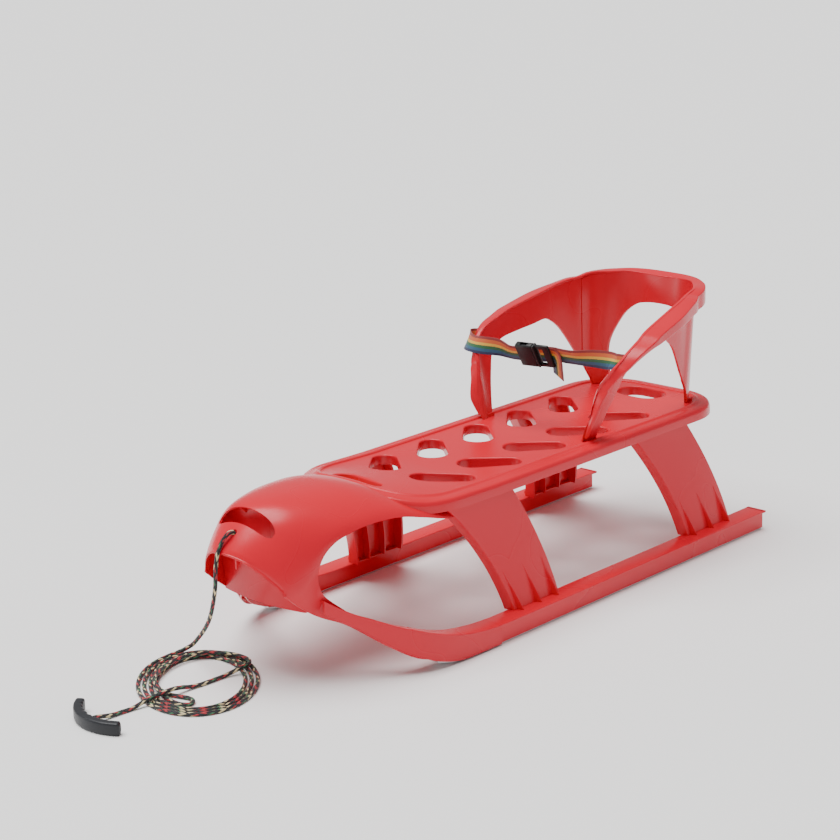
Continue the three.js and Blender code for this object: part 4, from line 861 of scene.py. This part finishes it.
# Runners: flat steel strips under the rails that follow the arms' first rise, each held by
# four countersunk screws driven up into the rail's bosses.
strip_width, strip_rear, strip_front, strip_thickness = 21, 5, 778, 2
sink_profile = [(4.2, -1), (4.2, 0.0), (2.3, 1.75), (2.3, 4)]
screw_profile, screw_head_place = [(3.8, 0), (1.9, 1.4), (1.9, 15.5)], 0.3


def rolled_steel():
    """Plain strip with fine lines along its length and dull patches."""
    material, tree, shader = new_finish("rolled steel")
    place = node(tree, "ShaderNodeTexCoord").outputs["Object"]
    lines = node(tree, "ShaderNodeMapping", {"Vector": place, "Scale": (2600.0, 14.0, 2600.0)})
    streak = node(tree, "ShaderNodeTexNoise", {"Vector": lines.outputs[0], "Scale": 1.0, "Detail": 3.0})
    patch = node(tree, "ShaderNodeTexNoise", {"Vector": place, "Scale": 22.0, "Detail": 4.0})
    rough = node(tree, "ShaderNodeMapRange", {0: patch.outputs[0], 1: 0.3, 2: 0.7, 3: 0.28, 4: 0.46})
    tone = two_tone(tree, streak.outputs[0], (0.48, 0.49, 0.50), (0.66, 0.67, 0.68))
    bump = node(tree, "ShaderNodeBump", {"Strength": 0.15, "Distance": 0.0001, "Height": streak.outputs[0]})
    fill(tree, shader, {"Base Color": tone, "Roughness": rough.outputs[0], "Normal": bump.outputs[0],
                        "Metallic": 1.0})
    return material


def strip_ring(row, side):
    along, half, _, bottom, _, channel = row
    centre = half * half_track - flange_overhang - channel * channel_width / 2
    low = max(bottom, 0) * arm_bottom_rise
    w = strip_width / 2
    section = rounded([(centre - w, low), (centre + w, low), (centre + w, low + strip_thickness),
                       (centre - w, low + strip_thickness)], 0.5, 2)
    return [at(side * x, arm_place(along), z) for x, z in section]


steel = rolled_steel()
runner_sides = (("right", 1), ("left", -1))
strip_shares = [(arm_share(place), *straight_row)
                for place in np.linspace(strip_rear, rail_straight - 10, 24)]
strip_shares += [row for row in arm_rows if arm_place(row[0]) < strip_front]
for side_name, side in runner_sides:
    runner = loft("runner", [strip_ring(row, side) for row in strip_shares])
    middle = side * boss_place
    sinks = [lathe(sink_profile, 24, (middle, spot, 0)) for spot in screw_places]
    add_piece(f"steel_runner_{side_name}", carve(runner, sinks), steel, "sled", "runner_steel",
              f"runner_{side_name}")


def row_tree():
    """Geometry tree: copies of one object at even steps along a line."""
    tree = bpy.data.node_groups.new("screw row", "GeometryNodeTree")
    face = tree.interface
    face.new_socket("Geometry", in_out="OUTPUT", socket_type="NodeSocketGeometry")
    for label, kind in (("Geometry", "Geometry"), ("Screw", "Object"), ("Count", "Int"), ("First", "Vector"),
                        ("Last", "Vector"), ("Finish", "Material")):
        face.new_socket(label, in_out="INPUT", socket_type=f"NodeSocket{kind}")
    given = tree.nodes.new("NodeGroupInput").outputs
    row = node(tree, "GeometryNodeMeshLine", {"Count": given["Count"], "Start Location": given["First"],
                                              "Offset": given["Last"]}, mode="END_POINTS")
    screw = node(tree, "GeometryNodeObjectInfo", {"Object": given["Screw"]})
    spread = node(tree, "GeometryNodeInstanceOnPoints", {"Points": row.outputs[0],
                                                         "Instance": screw.outputs["Geometry"]})
    real = node(tree, "GeometryNodeRealizeInstances", {0: spread.outputs[0]})
    dressed = node(tree, "GeometryNodeSetMaterial",
                   {"Geometry": real.outputs[0], "Material": given["Finish"]})
    node(tree, "NodeGroupOutput", {0: dressed.outputs[0]})
    return tree


def grown(name, tree, values):
    """The plain mesh that a geometry tree makes from its named inputs."""
    holder = linked(name, bpy.data.meshes.new(name))
    maker = holder.modifiers.new("maker", "NODES")
    maker.node_group = tree
    sockets = {s.name: s.identifier for s in tree.interface.items_tree if s.in_out == "INPUT"}
    for label, value in values.items():
        maker[sockets[label]] = value
    return taken(holder)


screw_row = row_tree()
cross_recess = [slab((-x, sled_length / 2 - y, -1), (x, sled_length / 2 + y, 0.9), 0.1)
                for x, y in ((2.1, 0.45), (0.45, 2.1))]
one_screw = linked("one screw", carve(lathe(screw_profile, 28, (0, sled_length / 2, 0)), cross_recess))
for side_name, side in runner_sides:
    middle = side * boss_place
    screws = grown("screws", screw_row, {
        "Screw": one_screw, "Count": len(screw_places), "Finish": steel,
        "First": tuple(at(middle, screw_places[0], screw_head_place)),
        "Last": tuple(at(middle, screw_places[-1], screw_head_place))})
    add_piece(f"screws_{side_name}", screws, steel, "sled", "screw_steel",
              *(f"runner_screw_{side_name}_{i}" for i in range(1, 5)))
bpy.data.objects.remove(one_screw)

# Belt: two lengths of striped webbing. The far one is sewn into the buckle and wraps its arm's
# brim. The near one comes through a slot in its arm, turns back in the buckle and ends loose.
belt_width, belt_thickness, belt_clearance = 28, 1.5, 0.7
buckle_centre = at(-20, 320, 322.4)
belt_x = Vector((0.998, 0.042, 0.05)).normalized()
belt_y = Vector((-0.03, -0.45, 0.89)).cross(belt_x).normalized()
belt_z = belt_x.cross(belt_y)
far_run = [(-91, 325, 324.7, 0, -0.1, 1)]
far_wrap = [(-120, 331, 325, 0, 0.35, 0.95)] + [(*p, 325, 0, 0.59, 0.81) for p in (
    (-136, 332), (-148, 328.5), (-157, 322), (-163.5, 314), (-166, 306), (-164, 298), (-158, 291.5),
    (-149, 288))]
rim_place, rim_run, brim_out, brim_away = (
    np.array(v) for v in ((138.4, 315.8, 336.4), (0.1, 0.8, 0.6), (0.81, -0.59, -0.05), (0.457, 0.57, 0.683)))
near_entry = [(*(rim_place + brim_out * a + brim_away * b), *rim_run)
              for a, b in ((12, -7), (6, -5.4), (0, -4.4), (-6, -3.6))]
near_entry += [(119, 316.5, 334.5, 0, 0.35, 0.93), (92, 316.5, 333, 0, -0.1, 1)]
near_loop = [(47, 4.6, 0.6), (38, 6.4, 0.2), (29, 6.6, 0), (20, 6.3, 0), (12, 5.4, 0), (8, 4.6, 0),
             (6.9, 3.5, 0), (8, 2.6, 0), (13, 2.8, 0), (20, 3.9, 0), (28, 4.2, 0)]
loose_end = [(34, 3.6, -2, 0.25, -0.3, 0.95), (36.5, 1.5, -9, 0.75, -0.42, 0.5),
             (34.5, 0, -20, 0.85, -0.42, 0.3), (30, -1.5, -38, 0.85, -0.42, 0.3)]


def on_belt(x, y, z):
    return buckle_centre + (belt_x * x + belt_y * y + belt_z * z) * MM


def belt_rows(rows, steps=6):
    """Places with their ways across, in metres: six numbers each, smooth and closely spaced."""
    return [(Vector(r[:3]), Vector(r[3:])) for r in curve_through(rows, steps)]


def by_sled(rows):
    return [(*at(*r[:3]), *(0.01 * v for v in r[3:])) for r in rows]


def by_buckle(rows):
    return [(*on_belt(*r[:3]), *(0.01 * v for v in (r[3:] or belt_z))) for r in rows]


def webbing(name, rows, width, thickness, edge):
    """Flat strip along places, with its stripes from edge to edge."""
    section = rounded([(width / 2, -thickness / 2), (width / 2, thickness / 2),
                       (-width / 2, thickness / 2), (-width / 2, -thickness / 2)], edge, 3)
    places, rings = [place for place, _ in rows], []
    for i, (point, across) in enumerate(rows):
        run = way_at(places, i).normalized()
        across = (across - run * across.dot(run)).normalized()
        face = run.cross(across)
        rings.append([point + (across * a + face * b) * MM for a, b in section])
    return loft(name, rings, run_uv=True, across=[a / width + 0.5 for a, _ in section])


def striped_webbing():
    """Woven stripes, dark red at the top edge through to navy at the lower one."""
    material, tree, shader = new_finish("striped webbing")
    split = run_map(tree)
    fray = node(tree, "ShaderNodeTexNoise", {"Vector": node(tree, "ShaderNodeTexCoord").outputs["Object"],
                                             "Scale": 900.0, "Detail": 1.0}).outputs[0]
    place = maths(tree, "MULTIPLY_ADD", maths(tree, "SUBTRACT", fray, 0.5), 0.03, split[0])
    stripes = banded(tree, place, (
        (0.0, (0.004, 0.010, 0.060)), (0.15, (0.006, 0.075, 0.15)), (0.32, (0.006, 0.10, 0.025)),
        (0.49, (0.66, 0.38, 0.03)), (0.64, (0.55, 0.09, 0.008)), (0.85, (0.22, 0.010, 0.010))))
    rows = maths(tree, "PINGPONG", maths(tree, "MULTIPLY", split[1], 900.0), 0.5)
    cords = maths(tree, "PINGPONG", maths(tree, "MULTIPLY", split[0], 22.0), 0.5)
    weave = maths(tree, "ADD", rows, cords)
    bump = node(tree, "ShaderNodeBump", {"Strength": 0.6, "Distance": 0.0004, "Height": weave})
    fill(tree, shader, {"Base Color": stripes, "Normal": bump.outputs[0], "Roughness": 0.7,
                        "Sheen Weight": 0.25})
    return material


def belt_way(rows):
    """The cutter for a belt's way through the backrest: wider than the belt, longer at both ends."""
    ends = [np.array(a) * 1.1 - np.array(b) * 0.1 for a, b in ((rows[0], rows[1]), (rows[-1], rows[-2]))]
    run = belt_rows(by_sled([ends[0], *rows, ends[1]]), 3)
    return webbing("way", run, belt_width + 2 * belt_clearance, belt_thickness + 2 * belt_clearance, 0.3)


striped = striped_webbing()
far_rows = belt_rows([*by_buckle([(-26.3, 0, 0), (-48, 0, 0)]), *by_sled([*far_run, *far_wrap])])
add_piece("belt_far", webbing("belt", far_rows, belt_width, belt_thickness, 0.5), striped,
          "backrest", "belt_webbing", "belt_left")
near_rows = belt_rows([*by_sled([*near_entry, (56, 316.6, 329, *belt_z)]),
                       *by_buckle([*near_loop, *loose_end])])
near_belt = add_piece("belt_near", webbing("belt", near_rows, belt_width, belt_thickness, 0.5), striped,
                      None, "belt_webbing", "belt_right")
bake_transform(near_belt)

# Buckle: a black side-release clip. The housing is a flat sleeve with windows in its sides,
# and the latch is a frame for the belt with two prongs and a guide that slide into it.
buckle_width, buckle_depth, belt_slack = 41, 11, 0.3
housing_length, housing_wall, room_reach, housing_window = 31, 2.2, 24, (-22.5, -9)
bar_span, frame_span, frame_window, frame_depth, frame_side = (0.7, 4.6), (3.4, 30), (4.6, 19), 5, 5
prong_span, prong_edges, prong_depth, guide_span, guide_edges = (-22, 4), (12.2, 17.6), 5.6, (-16, 4), (-3, 3)


def belt_block(x0, x1, y_size, z_low, z_high, corner=0.0, taper=0.0):
    """A block in the belt's frame, its long edges rounded and its ends drawn in by a taper."""
    middle, rings = (z_low + z_high) / 2, []
    section = [(-y_size / 2, z_low), (y_size / 2, z_low), (y_size / 2, z_high), (-y_size / 2, z_high)]
    if corner:
        section = rounded(section, corner, 4)
    for x, drawn in ((x0, taper), (x0 + taper * 0.5, taper * 0.2), (x0 + taper, 0), (x1 - taper, 0),
                     (x1 - taper * 0.5, taper * 0.2), (x1, taper)):
        sy, sz = 1 - 2 * drawn / y_size, 1 - 2 * drawn / (z_high - z_low)
        rings.append([on_belt(x, y * sy, middle + (z - middle) * sz) for y, z in section])
        if not taper and x == x1:
            break
    return loft("block", rings[:1] + rings[-1:] if not taper else rings)


black = moulded_plastic("black plastic", (0.004, 0.004, 0.005), (0.009, 0.009, 0.010), 0.42, 1200.0, 0.4)
half_buckle = buckle_width / 2
room_depth, half_room = buckle_depth - 2 * housing_wall, half_buckle - housing_wall
half_slot = belt_width / 2 + belt_slack
housing = carve(belt_block(-housing_length, 0, buckle_depth, -half_buckle, half_buckle, 3, 1.2), [
    belt_block(-room_reach, 1, room_depth, -half_room, half_room),
    belt_block(-housing_length - 4, -room_reach - 2, belt_thickness + 2 * belt_slack, -half_slot, half_slot),
    belt_block(*housing_window, room_depth, -half_buckle - 1, half_buckle + 1),
])
add_piece("housing", housing, black, "backrest", "black_plastic", "buckle_housing")
frame_hole = belt_block(*frame_window, 13, frame_side - half_buckle, half_buckle - frame_side)
prongs = [belt_block(*prong_span, prong_depth, *sorted(side * edge for edge in prong_edges), 1, 0.8)
          for side in (-1, 1)]
latch = [belt_block(*bar_span, buckle_depth, -half_buckle, half_buckle, 2, 0.8),
         carve(belt_block(*frame_span, frame_depth, -half_buckle, half_buckle, 1.6, 1.4), [frame_hole]),
         *prongs, belt_block(*guide_span, prong_depth, *guide_edges, 1, 0.8)]
add_piece("latch", joined("latch", latch), black, "buckle_latch", "black_plastic", "buckle_latch")

# Backrest: one moulding, a wall bent round three sides of the seat with arches between its
# four feet, and a turned brim along the top. It plugs into the deck.
backrest_wall, backrest_rise, backrest_foot = 4, 188, seat_height + 0.3
backrest_half_width, backrest_front = 140, 356
pilaster_rows, pilaster_height = (79, 89), 1.2
tab_heights, side_tab_x, side_tab_half, side_tab = (199, 220), 101.4, 1.8, (328, 352)
rear_tab, rear_tab_radius, rear_tab_stretch = (93, 80), 7.5, (0.35, 1.4, 1)
backrest_shares = [
    (0.686, 1, 0.714, 1, 0.041, 0.771, 1.003, 0.041, 5),
    (0.689, 0.992, 0.75, 0.992, 0.126, 0.829, 1.012, 0.126, 5),
    (0.693, 0.983, 0.779, 0.983, 0.201, 0.871, 1.01, 0.201, 5.5),
    (0.7, 0.975, 0.804, 0.975, 0.323, 0.921, 0.983, 0.323, 6),
    (0.711, 0.961, 0.836, 0.961, 0.429, 0.975, 0.961, 0.429, 6.5),
    (0.712, 0.949, 0.886, 0.949, 0.504, 1.025, 0.938, 0.504, 7),
    (0.715, 0.93, 0.943, 0.93, 0.573, 1.075, 0.902, 0.568, 7),
    (0.72, 0.896, 0.986, 0.896, 0.637, 1.114, 0.86, 0.631, 7.5),
    (0.725, 0.851, 1, 0.851, 0.701, 1.136, 0.806, 0.695, 8),
    (0.73, 0.767, 0.979, 0.767, 0.764, 1.143, 0.722, 0.759, 9),
    (0.75, 0.669, 0.936, 0.669, 0.828, 1.121, 0.624, 0.815, 14),
    (0.736, 0.517, 0.879, 0.517, 0.893, 1.079, 0.478, 0.879, 16),
    (0.714, 0.393, 0.829, 0.385, 0.948, 0.986, 0.351, 0.924, 19),
    (0.7, 0.315, 0.761, 0.298, 0.967, 0.879, 0.247, 0.954, 23),
    (0.671, 0.258, 0.7, 0.211, 0.988, 0.793, 0.169, 0.974, 25),
    (0.586, 0.197, 0.586, 0.152, 0.982, 0.671, 0.107, 0.983, 24.5),
    (0.443, 0.163, 0.464, 0.104, 0.983, 0.507, 0.062, 0.99, 23.5),
    (0.243, 0.152, 0.257, 0.079, 0.974, 0.286, 0.031, 0.994, 22),
]
middle_shares = (0, 0.149, 0, 0.079, 0.972, 0, 0.025, 0.994, 21)
panel_start = 6
side_arch_shares = [
    (0.927, -0.1), (0.927, 0.02), (0.913, 0.12), (0.868, 0.356), (0.834, 0.494), (0.772, 0.58),
    (0.674, 0.617), (0.579, 0.64), (0.503, 0.66), (0.463, 0.623), (0.427, 0.564), (0.393, 0.479),
    (0.343, 0.33), (0.284, 0.16), (0.247, 0), (0.247, -0.1),
]
back_arch_shares = [
    (0.552, -0.1), (0.552, 0), (0.585, 0.27), (0.567, 0.4), (0.5, 0.537), (0.429, 0.628),
    (0.306, 0.702), (0.143, 0.729), (0, 0.735),
]
row_steps = 6
mirrored_rows = [np.array(row) * (-1, 1, -1, 1, 1, -1, 1, 1, 1) for row in backrest_shares]
all_rows = curve_through([*backrest_shares, middle_shares, *mirrored_rows[::-1]], row_steps)


def backrest_place(x, along, up):
    return at(x * backrest_half_width, along * backrest_front, backrest_foot + up * backrest_rise)


bases = [backrest_place(r[0], r[1], 0) for r in all_rows]
rims = [backrest_place(*r[2:5]) for r in all_rows]
brims = [backrest_place(*r[5:8]) for r in all_rows]


def wall_outward(line, i):
    run = way_at(line, i)
    run.z = 0
    run.normalize()
    return Vector((run.y, -run.x, 0))


def backrest_wall_ring(i):
    out = [wall_outward(line, i) * backrest_wall * MM for line in (bases, rims)]
    heights = np.linspace(0, 1, 14)
    inner = [bases[i].lerp(rims[i], h) for h in heights]
    outer = [p + out[0].lerp(out[1], h) for p, h in zip(inner, heights)]
    return [*inner, *outer[::-1]]


def pilaster_ring(i):
    """A flat band down the wall's inner face at a rear corner."""
    out = wall_outward(rims, i) * MM
    line = [bases[i].lerp(rims[i], h) for h in np.linspace(0.01, 0.97, 12)]
    return [*(p - out * pilaster_height for p in line), *(p + out * 1.5 for p in reversed(line))]


def backrest_brim_ring(i):
    last = len(all_rows) - 1
    run = way_at(rims, i).normalized()
    panel = min(max(i, panel_start * row_steps), last - panel_start * row_steps)
    inwards = bases[panel].lerp(rims[panel], 0.5) - rims[i]
    out = brims[i] - rims[i]
    out -= run * out.dot(run)
    width = out.length / MM
    out.normalize()
    away = out.cross(run).normalized()
    if away.dot(inwards) > 0:
        away.negate()
    skirt = all_rows[i][8]
    section = rounded([(-0.6, 0.2), (width, 0.2), (width, -skirt), (width - plastic_wall, -skirt),
                       (width - plastic_wall, -plastic_wall), (-0.6, -plastic_wall)], 2.2, 4)
    hang = min(1, max(0, (skirt - 8) / 6))
    down = (Vector((0, 0, -1)) * hang - away * (1 - hang)).normalized()
    return [rims[i] + (out * a + away * max(b, -plastic_wall) + down * max(0, -b - plastic_wall)) * MM
            for a, b in section]


back_arch = [(x * backrest_half_width, backrest_foot + h * backrest_rise)
             for x, h in curve_through(back_arch_shares, 6)]
back_arch += [(-x, z) for x, z in back_arch[-2::-1]]
side_arch = [(p * backrest_front, backrest_foot + h * backrest_rise)
             for p, h in curve_through(side_arch_shares, 6)]
arch_cutters = [
    side_cutter(side_arch, (-190, 190)),
    loft("cutter", [[at(x, place, z) for x, z in back_arch] for place in (-6, 86)]),
]
belt_cutters = [belt_way(near_entry)]
wall_mesh = carve(loft("wall", [backrest_wall_ring(i) for i in range(len(all_rows))]),
                  [*arch_cutters, *belt_cutters])
first, last = pilaster_rows
bands = [range(first, last), range(len(all_rows) - last, len(all_rows) - first)]
pilasters = [carve(loft("band", [pilaster_ring(i) for i in band]), arch_cutters) for band in bands]
below = loft("cutter", [[at(x, y, z) for y, z in ((-10, 205), (500, 205), (500, 217.3), (-10, 217.3))]
                        for x in (-200, 200)])
brim_mesh = carve(loft("brim", [backrest_brim_ring(i) for i in range(len(all_rows))]),
                  [below, *arch_cutters, *belt_cutters])
tabs = []
for side in (-1, 1):
    x, (low, high) = side * side_tab_x, tab_heights
    tabs.append(slab((x - side_tab_half, side_tab[0], low), (x + side_tab_half, side_tab[1], high)))
    rear_profile = [(rear_tab_radius, low), (rear_tab_radius, high)]
    tabs.append(lathe(rear_profile, 4, (side * rear_tab[0], rear_tab[1], 0), rear_tab_stretch))
add_piece("backrest_shell", joined("backrest", [wall_mesh, brim_mesh, *pilasters, *tabs]), red_plastic,
          "backrest", "red_plastic", "backrest", crease=38)

# Studio: a plain pale floor, soft white light from above and a small lamp low at the nose's
# side.
floor_mesh = bpy.data.meshes.new("floor")
floor_mesh.from_pydata([(-9, -9, 0), (9, -9, 0), (9, 9, 0), (-9, 9, 0)], [], [(0, 1, 2, 3)])
floor_finish, floor_tree, floor_shader = new_finish("studio floor")
fill(floor_tree, floor_shader, {"Base Color": (0.93, 0.925, 0.92, 1), "Roughness": 0.75})
floor_mesh.materials.append(floor_finish)
linked("floor", floor_mesh)
world = bpy.data.worlds.new("studio")
world.use_nodes = True
sky = world.node_tree.nodes["Background"]
fill(world.node_tree, sky, {"Color": (1.0, 0.995, 0.99, 1), "Strength": 0.4})
scene.world = world
for name, kind, place, power, spread in (("top light", "SUN", (-0.5, -0.35, 2.6), 4.6, math.radians(50)),
                                         ("nose light", "AREA", (-2.0, -1.9, 0.55), 6, 0.3)):
    light = bpy.data.lights.new(name, kind)
    light.energy = power
    if kind == "SUN":
        light.angle = spread
    else:
        light.size = spread
    lamp = linked(name, light)
    lamp.location = place
    lamp.rotation_euler = (Vector((0, -0.05, 0.15)) - Vector(place)).to_track_quat("-Z", "Y").to_euler()
